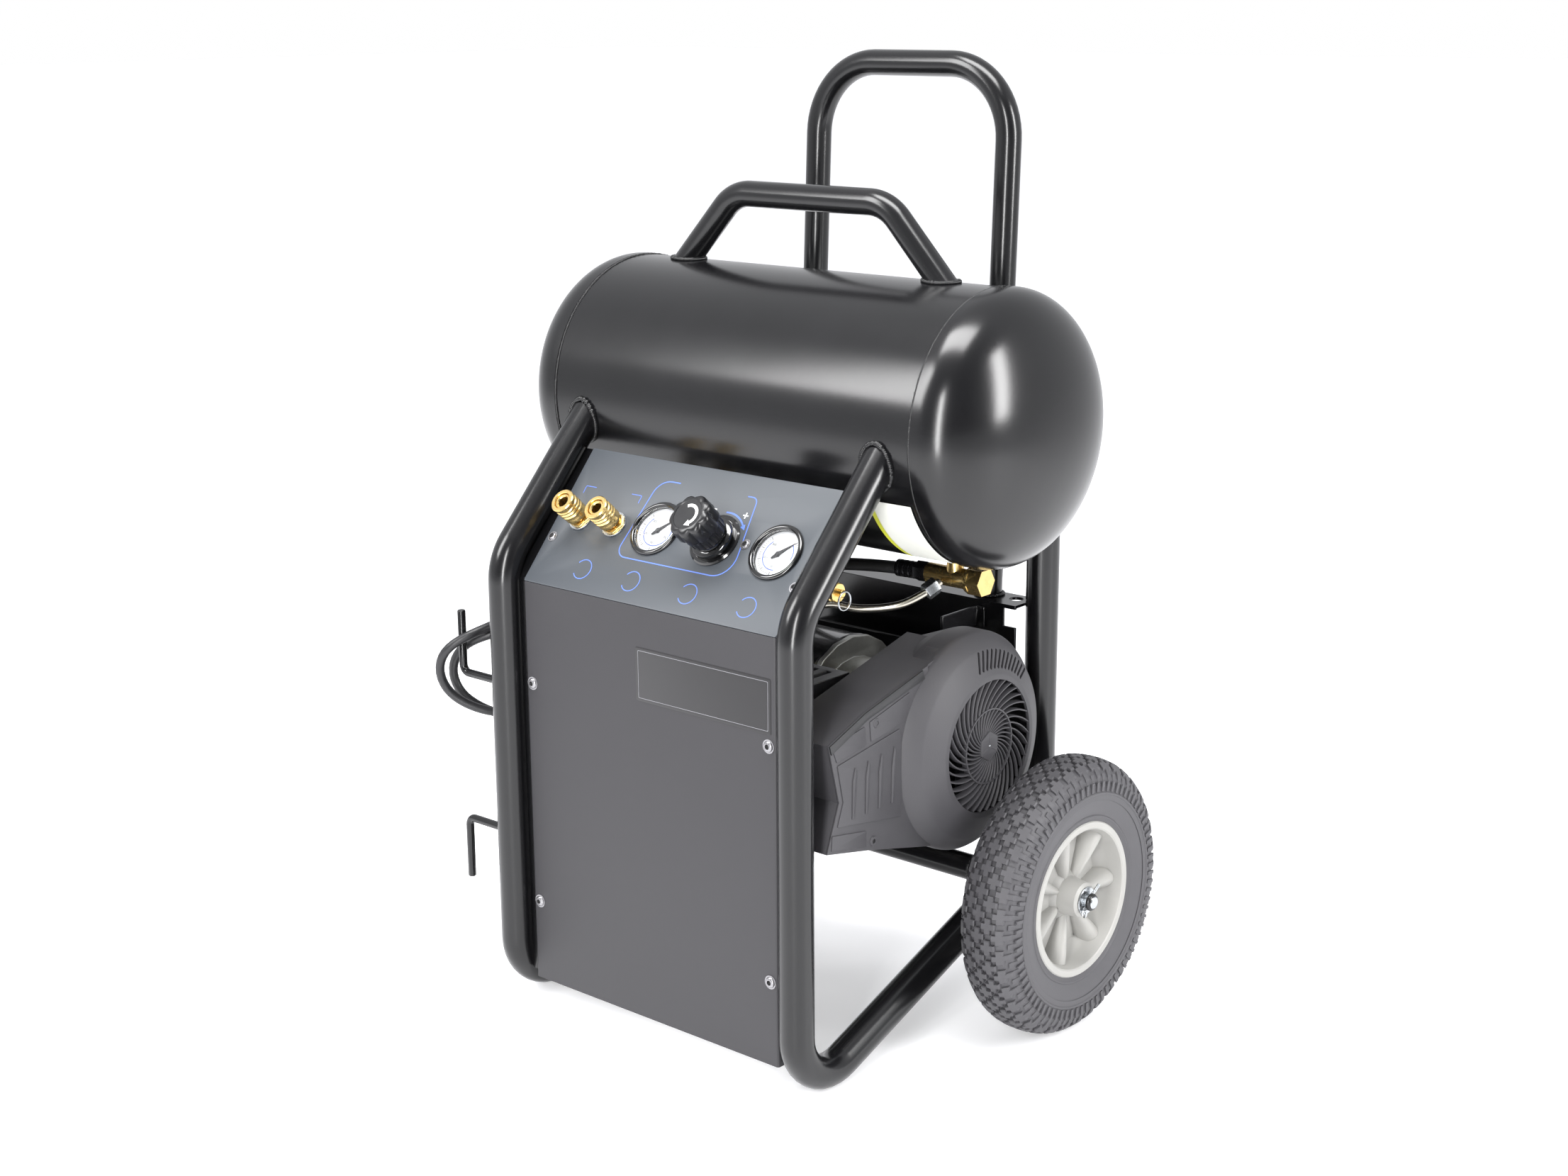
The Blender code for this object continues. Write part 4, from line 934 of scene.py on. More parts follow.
PITCHES, SPOKES, HUB_FACE, PIN_OUT = 40, 7, 0.0285, 0.0039
pitch = 2 * math.pi / PITCHES
WASHER_R, CAP_R, PIN_R, PIN_TILT = 0.0135, 0.0083, 0.0015, math.radians(38)
for word, side in SIDES:
    body = f"wheel_{word}"
    centre = at(side * WHEEL_X, AXLE_DEPTH, WHEEL_R)
    place = facing(centre, (side, 0, 0), (0, 0, 1))
    parts = [lathe("carcass", tyre_skin, (0, 0, 0), (0, 0, 1), TYRE_RUBBER, 120)]
    parts[0].data.transform(place)
    for row, across in enumerate((-0.0205, -0.0103, 0.0, 0.0103, 0.0205)):
        moulded = tread_block(cross(across, 0.0135, 0.0052), TREAD)
        offset = pitch / 2 if row % 2 else 0.0
        parts.append(repeated(f"row_{row}", moulded, PITCHES, TYRE_RUBBER, place, offset))
    for way in (-1, 1):
        bar_count = PITCHES * 2
        plan = [
            (way * 0.0258, -0.0030), (way * 0.0294, -0.0026), (way * 0.0294, 0.0026), (way * 0.0258, 0.0030)
        ]
        moulded = tread_block(plan, 0.0026, 0.9)
        parts.append(repeated(f"shoulder_{way}", moulded, bar_count, TYRE_RUBBER, place))
        bar_mesh = box_mesh("side_bar", (0.0095, 0.0032, 0.0016), (0.1098, 0, way * 0.0301))
        parts.append(repeated(f"side_bars_{way}", bar_mesh, bar_count, TYRE_RUBBER, place, pitch / 4))
    tyre = joined(f"tread_tyre_{word}", parts)
    fit(tyre, body, "tyre_rubber", f"tyre_{word}")

    # the hub: a flanged rim, a dished web set inward, a boss, and the spokes raised on the web
    lip, boss, bore = 0.0752, 0.0165, AXLE_R + 0.0003
    rim = [
        (bore, 0.0285), (0.0135, 0.0285), (boss, 0.0262), (0.0190, 0.0085), (0.0240, 0.0030),
        (0.0560, -0.0010), (0.0622, 0.0052), (0.0652, 0.0110), (0.0664, 0.0210), (0.0676, 0.0246),
        (0.0690, 0.0256), (lip - 0.001, 0.0256), (lip, 0.0246), (lip, 0.0236), (RIM_R - 0.0004, 0.0228),
        (RIM_R - 0.0004, -0.0228), (lip, -0.0236), (lip, -0.0246), (lip - 0.001, -0.0256), (0.0690, -0.0256),
        (0.0676, -0.0246), (0.0664, -0.0210), (0.0652, -0.0100), (0.0600, -0.0060), (0.0240, -0.0030),
        (0.0190, -0.0110), (boss, -0.0262), (0.0135, -0.0285), (bore, -0.0285),
    ]
    hub_parts = [lathe("rim", rim, centre, (side, 0, 0), HUB_NYLON, 96, True)]
    spoke_rings = []
    for r, wide, tall in (
        (0.0150, 0.0034, 0.0085), (0.0260, 0.0052, 0.0115), (0.0420, 0.0078, 0.0135),
        (0.0560, 0.0104, 0.0150), (0.0655, 0.0122, 0.0155),
    ):
        arch = (math.pi * k / 12 for k in range(13))
        spoke_rings.append([(r, wide * math.cos(a), tall * 1.15 * math.sin(a) - 0.0012) for a in arch])
    spoke = lofted("spoke", spoke_rings)
    hub_parts.append(repeated("spokes", spoke, SPOKES, HUB_NYLON, place, math.radians(12)))
    fit(joined(f"spoked_hub_{word}", hub_parts), body, "hub_plastic", f"wheel_hub_{word}")

    # on the axle's end: a bright washer, a split pin through the bar, and a black push-on cap
    face = side * (WHEEL_X + HUB_FACE)
    washer = [
        (AXLE_R + 0.0001, 0.0017), (WASHER_R - 0.0005, 0.0017), (WASHER_R, 0.0012), (WASHER_R, 0.0003),
        (AXLE_R + 0.0001, 0.0003)
    ]
    washer_piece = lathe(
        f"axle_washer_{word}", washer, at(face, AXLE_DEPTH, WHEEL_R), (side, 0, 0), ZINC, 48, True
    )
    fit(washer_piece, "frame", "bright_steel")
    pin_x = side * (WHEEL_X + HUB_FACE + PIN_OUT)
    # along the bar, along the pin and across it
    leg = [(0, -0.0098, 0), (0, 0, 0), (0, 0.0075, 0), (0.0014, 0.0105, 0), (0.0030, 0.0185, 0)]
    turns = [math.radians(d) for d in range(30, 331, 30)]
    pin_eye = [(0, -0.0128 - 0.0030 * math.cos(a), 0.0042 * math.sin(a)) for a in turns]
    sin, cos = math.sin(PIN_TILT), math.cos(PIN_TILT)
    for part, points, size in (("leg", leg, PIN_R), ("eye", pin_eye, PIN_R * 0.7)):
        steps = [Vector((side * a, s * sin + e * cos, s * cos - e * sin)) for a, s, e in points]
        path = [at(pin_x, AXLE_DEPTH, WHEEL_R) + step for step in steps]
        piece = sweep(f"split_pin_{part}_{word}", path, size, ZINC, 12)
        fit(piece, "frame", "bright_steel")
CAP_BLACK = surface("vinyl_end_cap", "#0c0c0d", "#131314", 4, 0.3, 1.0, 0.00004)
for word, side in SIDES:
    cap = [
        (0, AXLE_HALF), (0.0050, AXLE_HALF - 0.0003), (CAP_R - 0.001, AXLE_HALF - 0.0013),
        (CAP_R, AXLE_HALF - 0.003)
    ]
    cap += [
        (CAP_R, AXLE_HALF - 0.0048), (AXLE_R + 0.0001, AXLE_HALF - 0.0048),
        (AXLE_R + 0.0001, AXLE_HALF - 0.0012), (0, AXLE_HALF - 0.0012)
    ]
    piece = lathe(f"axle_cap_{word}", cap, AXLE, (side, 0, 0), CAP_BLACK, 40)
    fit(piece, "frame", "black_rubber")

# ---------------------------------------------------------------- front cover
# A sheet of 1.5 mm steel folded back along both long edges, in a dull charcoal powder coat, held by
# four button-head socket screws. A blank black rating plate is stuck under the panel.
CHARCOAL_COAT = surface("textured_charcoal_coat", "#272629", "#2b2a2d", 80, 0.56, 1.3, 0.00007, 0.03)
COVER_HALF, COVER_DEPTH, COVER_LOW, FOLD_Z = 0.1575, 0.0019, 0.0249, 0.4257
SHEET, FOLD_BACK = 0.0015, 0.018
w, t, f, k = COVER_HALF, SHEET, at(0, COVER_DEPTH, 0).y, at(0, COVER_DEPTH + FOLD_BACK, 0).y
channel = eased(
    [(-w, f), (w, f), (w, k), (w - t, k), (w - t, f + t), (t - w, f + t), (t - w, k), (-w, k)],
    [0.0027, 0.0027, 0.0003, 0.0003, 0.0012, 0.0012, 0.0003, 0.0003],
    5,
)
cover_top = FOLD_Z - 0.0003
place = Matrix.Translation((0, 0, (COVER_LOW + cover_top) / 2))
cover = plate("folded_cover", [channel], cover_top - COVER_LOW, place, CHARCOAL_COAT, 0.0002)
fit(cover, "frame", "charcoal_sheet", "front_cover")

SCREW_STEEL = surface("black_oxide_screw", "#8a898b", "#98979a", 2, 0.3, 0.8, 0.00003, 0.05, metallic=0.9)
# near-black filling for hex sockets and screw holes, just under their rims: painted shade inside them
SOCKET_DARK = surface("socket_shadow", "#050505", "#080808", 3, 0.6, 1.0, 0.00003)


def button_screw(name, place, radius=0.0052, height=0.0026):
    """A domed socket screw and its thin washer, at the origin of a placement that faces out."""
    dome = [(0.0022, height - 0.0016), (0.0024, height)]
    for i in range(1, 7):
        turn = math.radians(90 * i / 6)
        dome.append(
            (0.0024 + (radius - 0.0024) * math.sin(turn), 0.0006 + (height - 0.0006) * math.cos(turn))
        )
    dome += [(radius + 0.0012, 0.0006), (radius + 0.0013, 0.0), (0.0022, 0.0)]
    head = lathe(name, dome, (0, 0, 0), (0, 0, 1), SCREW_STEEL, 32, True)
    head.data.transform(place)
    fit(head, "frame", "bright_steel")
    # the socket's well is a near-black plug just under the top, painting the shade inside the socket
    well = [(0, height - 0.0013), (0.00225, height - 0.0013), (0.00225, 0.0002), (0, 0.0002)]
    socket = lathe(f"{name}_socket", well, (0, 0, 0), (0, 0, 1), SOCKET_DARK, 6)
    socket.data.transform(place)
    fit(socket, "frame", "bright_steel")


for row, z in (("upper", 0.3265), ("lower", 0.1057)):
    for word, x in (("left", -0.149), ("right", 0.149)):
        button_screw(f"cover_screw_{row}_{word}", facing(at(x, COVER_DEPTH, z), (0, -1, 0)))

PLATE_FILM = surface("printed_polyester_film", "#161517", "#1b1a1c", 40, 0.36, 2.0, 0.00002, 0.02)
PLATE_INK = surface("silver_print", "#77777b", "#818186", 30, 0.45, 2.0, 0.00001, 0.02)
RATING = (-0.011, 0.152, 0.337, 0.388)


def on_cover(out):
    """A placement for flat outlines of (x, z), that far out from the cover's face."""
    return Matrix.Translation((0, f - out, 0)) @ Matrix.Rotation(math.pi / 2, 4, "X")


rating = plate(
    "rating_plate", [eased(rectangle(*RATING), 0.002)], 0.0003, on_cover(0.00022), PLATE_FILM, 0.00005
)
fit(rating, "frame", "charcoal_sheet")
rule = [eased(rectangle(*RATING, inset), radius) for inset, radius in ((0.003, 0.001), (0.0034, 0.0008))]
border = plate("rating_plate_border", rule, 0.0001, on_cover(0.00042), PLATE_INK, 0.00002)
fit(border, "frame", "charcoal_sheet")


# ---------------------------------------------------------------- control panel
# A steel panel that slopes back to the tank, faced with a matt grey-blue printed overlay. The blue
# line that ties the outlet gauge to its regulator, and four open rings, are printed on it.
OVERLAY = surface("printed_panel_overlay", "#3b3f44", "#3f4348", 90, 0.47, 1.1, 0.00004, 0.02)
BLUE_INK = surface("blue_screen_print", "#4a67b8", "#506ec2", 20, 0.5, 1.0, 0.00001, 0.02)
WHITE_INK = surface("white_screen_print", "#dcdcdc", "#e6e6e6", 20, 0.5, 1.0, 0.00001, 0.02)
PANEL_RUN, PANEL_RISE = 0.0969, 0.1123
PANEL_TOP = math.hypot(PANEL_RUN, PANEL_RISE)
UP_SLOPE = Vector((0, PANEL_RUN, PANEL_RISE)).normalized()
OUTWARD = Vector((0, -UP_SLOPE.z, UP_SLOPE.y))
PANEL_SHEET, CONTROL_S, COUPLER_S = 0.002, 0.078, 0.074
GAUGE_X = {"outlet": -0.0313, "tank": 0.1147}
KNOB_X = 0.042
COUPLER_X = {"left": -0.1265, "right": -0.0825}


def on_panel(x, along, out=0.0):
    """A point on the panel's outer face, that far up the slope, or that far out from it."""
    return at(x, COVER_DEPTH, FOLD_Z) + UP_SLOPE * along + OUTWARD * out


edge = eased(rectangle(-COVER_HALF, COVER_HALF, 0.0005, PANEL_TOP), 0.002)
holes = [ring_of(0.0263, (x, CONTROL_S)) for x in GAUGE_X.values()] + [ring_of(0.0225, (KNOB_X, CONTROL_S))]
holes += [ring_of(0.0105, (x, COUPLER_S), 32) for x in COUPLER_X.values()]
panel = plate(
    "sloping_panel", [edge] + holes, PANEL_SHEET, facing(on_panel(0, 0, -PANEL_SHEET / 2), OUTWARD), OVERLAY
)
fit(panel, "frame", "panel_overlay", "control_panel")
for number, (x, along) in enumerate(((-0.150, 0.050), (0.0775, 0.080), (0.152, 0.049))):
    button_screw(f"panel_screw_{number}", facing(on_panel(x, along), OUTWARD), 0.0040, 0.0020)

INK_LIFT = 0.00012


def stripe(name, path, width, material, place=None):
    """A printed line of even width along a flat path, as a thin film on the panel."""
    path = [Vector(p) for p in path]
    rings = []
    for before, point, after in zip(path[:1] + path, path, path[1:] + path[-1:]):
        along = (after - before).normalized()
        aside = Vector((-along.y, along.x)) * width / 2
        a, b = point + aside, point - aside
        rings.append([(p.x, p.y, z) for p, z in ((a, 0), (b, 0), (b, INK_LIFT), (a, INK_LIFT))])
    data = lofted(name, rings)
    data.transform(place or facing(on_panel(0, 0, 0.00002), OUTWARD))
    return new_piece(name, data, material)


def arrow_head(name, tip, before, length, half, back, place, ink):
    """The head of a printed arrow, at the end of a line whose last two points are given."""
    tip = Vector(tip)
    way = (tip - Vector(before)).normalized()
    off = Vector((-way.y, way.x))
    corners = [tip + way * length, tip - off * half - way * back, tip + off * half - way * back]
    return plate(name, [[tuple(p) for p in corners]], INK_LIFT, place, ink, 0.00002)


def eased_line(corners, radius, steps=8):
    """A flat open line with rounded corners."""
    points = bent([(*c, 0) for c in corners], radius, steps)
    return [(p.x, p.y) for p in points]


tie_line = eased_line(
    [(-0.030, 0.1275), (-0.0555, 0.1275), (-0.0640, 0.0440), (0.0790, 0.0440), (0.0660, 0.1265),
    (0.0540, 0.1265)],
    [0.016, 0.011, 0.020, 0.007],
)
fit(stripe("outlet_group_line", tie_line, 0.0011, BLUE_INK), "frame", "panel_overlay")
for number, (x, along) in enumerate(((-0.093, 0.024), (-0.0295, 0.0225), (0.0414, 0.0222), (0.112, 0.0217))):
    arc = arc_of(0.0100, (x, along), range(-145, 146, 5))
    fit(stripe(f"printed_ring_{number}", arc, 0.0009, BLUE_INK), "frame", "panel_overlay")
swing = arc_of(0.0295, (KNOB_X, CONTROL_S), range(96, 39, -4))
fit(stripe("raise_arrow_shaft", swing, 0.0016, BLUE_INK), "frame", "panel_overlay")
on_print = facing(on_panel(0, 0, 0.00008), OUTWARD)
arrow = arrow_head("raise_arrow_head", swing[-1], swing[-2], 0.0052, 0.0027, 0.0004, on_print, BLUE_INK)
fit(arrow, "frame", "panel_overlay")
for word, bar in (
    ("bar", [(0.0590, 0.1075), (0.0650, 0.1075)]), ("post", [(0.0620, 0.1045), (0.0620, 0.1105)])
):
    fit(stripe(f"plus_{word}", bar, 0.0012, WHITE_INK), "frame", "panel_overlay")
fit(stripe("minus_bar", [(0.0215, 0.1085), (0.0265, 0.1085)], 0.0012, WHITE_INK), "frame", "panel_overlay")
for word, post, end in (("left", -0.141, -0.128), ("right", -0.068, -0.081)):
    bracket = eased_line([(post, 0.1000), (post, 0.1080), (end, 0.1080)], [0.001], 3)
    fit(stripe(f"couplers_bracket_{word}", bracket, 0.0007, BLUE_INK), "frame", "panel_overlay")

# ---------------------------------------------------------------- gauges
# Two 51 mm dial gauges: a glossy black pressed bezel, a white printed dial under clear
# polycarbonate, and a black needle that rests at zero and sweeps three quarters of a turn.
BEZEL = surface(
    "gloss_black_bezel", "#070708", "#0c0c0d", 15, 0.12, 2.0, 0.00001, 0.03, Coat_Weight=0.6,
    Coat_Roughness=0.05
)
DIAL = surface("white_printed_dial", "#eef0f3", "#f4f5f7", 12, 0.4, 1.0, 0.00001, 0.02)
DIAL_BLUE = surface("blue_dial_print", "#3d62c0", "#4469c6", 10, 0.45, 1.0, 0.00001, 0.02)
DIAL_BLACK = surface("black_dial_print", "#17181c", "#1d1e22", 10, 0.45, 1.0, 0.00001, 0.02)
CLEAR = surface(
    "clear_polycarbonate_lens", "#ffffff", "#fdfdfd", 30, 0.04, 9.0, 0.000002, 0.01, Transmission_Weight=1.0,
    IOR=1.45
)
LIP_R, DIAL_R, DIAL_H, ZERO, SWEEP = 0.0280, 0.0232, -0.004, 45, 270


def paint_node(name, material):
    """Gives a CAD node that shows as it is its material."""
    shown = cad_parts[name]
    shown.data.materials.clear()
    shown.data.materials.append(material)


case = [
    (0, DIAL_H - 0.0004), (DIAL_R, DIAL_H - 0.0004), (DIAL_R, 0.0012), (0.0237, 0.0024), (0.0247, 0.0030),
    (0.0262, 0.0030), (0.0274, 0.0023), (LIP_R, 0.0010), (LIP_R, 0.0003), (0.0258, 0.0003),
    (0.0258, -0.0272), (0.0250, -0.028), (0.006, -0.028), (0.006, -0.0505), (0, -0.0505),
]
for word, x in GAUGE_X.items():
    fit(
        lathe(f"{word}_gauge_case", case, on_panel(x, CONTROL_S), OUTWARD, BEZEL, 72), "frame",
        "gloss_plastic", f"gauge_{word}"
    )
    disc = [(0, 0.0003), (DIAL_R - 0.0002, 0.0003), (DIAL_R - 0.0002, -0.0002), (0, -0.0002)]
    fit(
        lathe(f"{word}_gauge_dial", disc, on_panel(x, CONTROL_S, DIAL_H), OUTWARD, DIAL, 72), "frame",
        "gloss_plastic"
    )
    on_dial = facing(on_panel(x, CONTROL_S, DIAL_H + 0.00032), OUTWARD)
    for kind, count, inner_r, outer_r, wide in (
        ("minor", 40, 0.0186, 0.0203, 0.00028), ("major", 8, 0.0176, 0.0206, 0.00055)
    ):
        tick = box_mesh("tick", (outer_r - inner_r, wide, 0.00012), ((outer_r + inner_r) / 2, 0, 0.00006))
        made = repeated(
            f"{word}_gauge_{kind}_ticks", tick, count + 1, DIAL_BLACK, on_dial, math.radians(ZERO),
            -math.radians(SWEEP) * (count + 1) / count
        )
        fit(made, "frame", "gloss_plastic")
    arc = arc_of(0.0155, (0, 0), (ZERO - SWEEP * i / 54 for i in range(55)))
    fit(stripe(f"{word}_gauge_arc", arc, 0.0009, DIAL_BLUE, place=on_dial), "frame", "gloss_plastic")
    figures = []
    for i in range(5):
        text = bpy.data.curves.new("figure", "FONT")
        text.body = str(50 * i)
        text.size, text.extrude = 0.0034, 0.00004
        text.align_x, text.align_y = "CENTER", "CENTER"
        shown = placed("figure", text)
        data = worked_out(shown)
        bpy.data.objects.remove(shown, do_unlink=True)
        turn = math.radians(ZERO - SWEEP * i / 4)
        spot = Matrix.Translation((0.0122 * math.cos(turn), 0.0122 * math.sin(turn), 0.00006))
        data.transform(on_dial @ spot @ Matrix.Rotation(math.pi, 4, "Z"))
        figures.append(new_piece("figure", data, DIAL_BLACK))
    fit(joined(f"{word}_gauge_figures", figures), "frame", "gloss_plastic")
    lens = [
        (0, 0.0008), (0.0150, 0.0004), (DIAL_R - 0.0001, -0.0006), (DIAL_R - 0.0001, -0.0014), (0, -0.0006)
    ]
    fit(
        lathe(f"{word}_gauge_lens", lens, on_panel(x, CONTROL_S, 0.0014), OUTWARD, CLEAR, 64), "frame",
        "gloss_plastic"
    )
    paint_node(f"gauge_{word}_needle", DIAL_BLACK)
    hubcap = [(0, 0.0011), (0.0012, 0.0010), (0.0021, 0.0004), (0.0022, 0.0), (0, 0.0)]
    piece = lathe(f"{word}_needle_hub", hubcap, on_panel(x, CONTROL_S, -0.00262), OUTWARD, DIAL_BLACK, 24)
    fit(piece, f"{word}_needle", "needle_paint")

# ---------------------------------------------------------------- regulator
# The knob is moulded in glossy black nylon, its grip scalloped in nine lobes and its skirt ribbed;
# a white arrow on its cap shows which way it turns. Below it a threaded ring clamps the panel.
NYLON = surface("gloss_black_nylon", "#0c0c0e", "#121215", 12, 0.3, 1.0, 0.00005, 0.05)
LOBES = 9
knob_place = facing(on_panel(KNOB_X, CONTROL_S), OUTWARD)
knob_rings = []
for height, size, wave, ribbing in (
    (0.0127, 0.0150, 0, 0), (0.0127, 0.0172, 0, 0), (0.0135, 0.0180, 0, 0.0), (0.0140, 0.0181, 0, 0.0004),
    (0.0255, 0.0188, 0.0001, 0.0004), (0.0262, 0.0196, 0.0006, 0.0), (0.0272, 0.0205, 0.0013, 0),
    (0.0285, 0.0208, 0.0014, 0), (0.0420, 0.0205, 0.0015, 0), (0.0440, 0.0200, 0.0014, 0),
    (0.0456, 0.0188, 0.0010, 0), (0.0466, 0.0168, 0.0003, 0), (0.0468, 0.0152, 0, 0), (0.0461, 0.0146, 0, 0),
    (0.0461, 0.0100, 0, 0),
):
    samples = LOBES * 16
    ring = []
    for i in range(samples):
        a = 2 * math.pi * i / samples
        scallop = wave * (abs(math.cos(LOBES * a / 2)) * 2 - 1.2)
        r = size + scallop + (ribbing if (i // 4) % 2 else -ribbing)
        ring.append((r * math.cos(a), r * math.sin(a), height))
    knob_rings.append(ring)
data = lofted("scalloped_knob", knob_rings)
data.transform(knob_place)
fit(new_piece("scalloped_knob", data, NYLON, 38), "knob", "gloss_plastic", "regulator_knob")
cap_face = facing(on_panel(KNOB_X, CONTROL_S, 0.04612), OUTWARD)
sweep_arc = arc_of(0.0093, (0, 0), range(-55, 121, 5))
fit(stripe("knob_arrow_shaft", sweep_arc, 0.0030, WHITE_INK, place=cap_face), "knob", "gloss_plastic")
over_cap = cap_face @ Matrix.Translation((0, 0, INK_LIFT / 2))
arrow = arrow_head("knob_arrow_head", sweep_arc[0], sweep_arc[1], 0.0055, 0.0034, 0, over_cap, WHITE_INK)
fit(arrow, "knob", "gloss_plastic")

bonnet = [
    (0, 0.0120), (0.0155, 0.0120), (0.0165, 0.0114), (0.0168, 0.0095), (0.0200, 0.0088), (0.0212, 0.0078),
    (0.0215, 0.0060), (0.0215, 0.0034), (0.0206, 0.0030), (0.0206, 0.0022), (0.0215, 0.0018),
    (0.0215, -0.0470), (0.0200, -0.0520), (0, -0.0520),
]
bonnet_piece = lathe("regulator_bonnet", bonnet, on_panel(KNOB_X, CONTROL_S), OUTWARD, BEZEL, 72)
reach = 0.0155
valve_block = block("regulator_block", (-0.0245, -reach, -reach), (0.0245, reach, reach), BEZEL, 0.002)
valve_block.data.transform(facing(on_panel(KNOB_X, CONTROL_S, -0.062), OUTWARD))
fit(joined("regulator_housing", [bonnet_piece, valve_block]), "frame", "gloss_plastic", "regulator_body")
clamp_ring = [(0.0218, 0.0003), (0.0262, 0.0003), (0.0262, 0.0012), (0.0248, 0.0024), (0.0218, 0.0024)]
fit(
    lathe("regulator_clamp_ring", clamp_ring, on_panel(KNOB_X, CONTROL_S), OUTWARD, BEZEL, 72, True), "frame",
    "gloss_plastic"
)

# ---------------------------------------------------------------- couplers and pipes
# Two quarter-inch quick couplers turned from yellow brass: a bored body and a grooved sleeve that
# slides back to let the hose go. Behind the panel they share a brass pipe with the regulator.
BRASS = surface("turned_brass", "#e2c78a", "#d2b370", 7, 0.26, 0.5, 0.00003, 0.06, metallic=1.0)
BORE_R, BODY_R, MOUTH = 0.0052, 0.0080, 0.0315
coupler = [
    (BORE_R + 0.0008, MOUTH), (0.0073, MOUTH), (BODY_R, MOUTH - 0.0007), (BODY_R, 0.0030), (0.0096, 0.0030),
    (0.0098, 0.0026), (0.0098, -0.0505), (BORE_R, -0.0505), (BORE_R, MOUTH - 0.0010),
]
inner_r = BODY_R + 0.0003
sleeve = [
    (inner_r, 0.0325), (0.0087, 0.0330), (0.0112, 0.0330), (0.0121, 0.0322), (0.0121, 0.0300),
    (0.0110, 0.0288), (0.0110, 0.0272)
]
for ring in range(3):
    middle = 0.0258 - 0.0041 * ring
    sleeve += [
        (0.0113, middle + 0.0012), (0.0120, middle + 0.0004), (0.0120, middle - 0.0006),
        (0.0109, middle - 0.0016), (0.0109, middle - 0.0022)
    ]
sleeve += [(0.0113, 0.0130), (0.0116, 0.0122), (0.0116, 0.0092), (0.0110, 0.0086), (inner_r, 0.0086)]
for word, x in COUPLER_X.items():
    centre = on_panel(x, COUPLER_S)
    fit(
        lathe(f"{word}_coupler_stem", coupler, centre, OUTWARD, BRASS, 48, True, 30), "frame", "brass",
        f"coupler_{word}_body"
    )
    fit(
        lathe(f"{word}_coupler_collar", sleeve, centre, OUTWARD, BRASS, 64, True, 30), f"{word}_sleeve",
        "brass", f"coupler_{word}_sleeve"
    )
    nut = ring_of(0.0113, (0, 0), 6)
    made = plate(
        f"{word}_coupler_flats", [nut, ring_of(0.0099, (0, 0), 32)], 0.0023,
        facing(centre + OUTWARD * 0.0031, OUTWARD), BRASS, 0.0004
    )
    fit(made, "frame", "brass")
    washer = [(0.0100, 0.0019), (0.0128, 0.0019), (0.0131, 0.0015), (0.0131, 0.0003), (0.0100, 0.0003)]
    fit(lathe(f"{word}_coupler_washer", washer, centre, OUTWARD, ZINC, 48, True), "frame", "bright_steel")
for name in ("outlet_manifold", "tank_pressure_pipe"):
    eased_copy(name, "frame", "brass", BRASS, 0.0006)

valve_axis = on_panel(0, CONTROL_S, -0.062)
VALVE_X = 0.1303
relief = [
    (0, 0.022), (0.0028, 0.022), (0.0035, 0.0214), (0.0035, 0.0170), (0.0082, 0.0170), (0.0090, 0.0162),
    (0.0090, 0.0128), (0.0080, 0.0122), (0.0080, 0.0112), (0.0090, 0.0106), (0.0090, 0.004), (0.0075, 0.0),
    (0, 0),
]
fit(
    lathe("relief_valve_body", relief, (VALVE_X, valve_axis.y, valve_axis.z), (1, 0, 0), BRASS, 48), "frame",
    "brass", "relief_valve"
)
ring_low, ring_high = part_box("relief_valve_ring")
middle, loop_r = (ring_low + ring_high) / 2, (ring_high.z - ring_low.z) / 2 - 0.0008
pull_ring = [middle + Vector((0, y, z)) for z, y in ring_of(loop_r)]
fit(
    sweep("relief_pull_ring", pull_ring, 0.0008, ZINC, 12, True), "relief_ring", "bright_steel",
    "relief_valve_ring"
)


# ---------------------------------------------------------------- cover rails
# Flat bars welded behind each front tube, up the post and the slope, take the cover's screws and
# close the gap between sheet and tube.
RAIL_T, POST_RAIL, SLOPE_RAIL = 0.002, (0.1577, 0.1740), (0.1500, 0.1760)
for word, side in SIDES:
    low_x, high_x = sorted(side * x for x in POST_RAIL)
    post = block(
        f"cover_rail_post_{word}", at(low_x, 0.0060, 0.030), at(high_x, 0.0060 + RAIL_T, FOLD_Z), POWDER_COAT,
        0.0004
    )
    fit(post, "frame", "black_powder_coat")
    low_x, high_x = sorted(side * x for x in SLOPE_RAIL)
    bar = block(
        f"cover_rail_slope_{word}", (low_x, 0.0015, -0.0045), (high_x, PANEL_TOP, -0.0045 + RAIL_T),
        POWDER_COAT, 0.0004
    )
    bar.data.transform(facing(on_panel(0, 0), OUTWARD))
    fit(bar, "frame", "black_powder_coat")

lip = block(
    "fold_lip", at(-0.155, COVER_DEPTH + 0.0021, FOLD_Z - 0.012),
    at(0.155, COVER_DEPTH + 0.0041, FOLD_Z + 0.0015), POWDER_COAT, 0.0003
)
fit(lip, "frame", "black_powder_coat")

# ---------------------------------------------------------------- motor and pump
# An open-frame motor in a glossy black can, a die-cast crankcase and cylinder that point at the
# cover, and a cast head; the whole pump sits on a plate held to the back plate by rubber mounts.
MOTOR_ENAMEL = surface(
    "gloss_motor_enamel", "#0b0b0c", "#101012", 40, 0.22, 2.4, 0.00003, 0.03, Coat_Weight=0.5,
    Coat_Roughness=0.08
)
CAST = surface("die_cast_aluminium", "#a9a9a6", "#94948f", 6, 0.46, 1.1, 0.00018, 0.08, metallic=1.0)
MOULDED = surface("textured_dark_nylon", "#333235", "#39383b", 30, 0.55, 0.9, 0.00012, 0.05)
MOULDED_DARK = surface("smooth_dark_nylon", "#1a1a1c", "#202022", 20, 0.42, 1.2, 0.00006, 0.05)
MOUNT_RUBBER = surface("black_natural_rubber", "#111112", "#19191a", 6, 0.7, 1.0, 0.00015)
PUMP = at(0, 0.2375, 0.281)
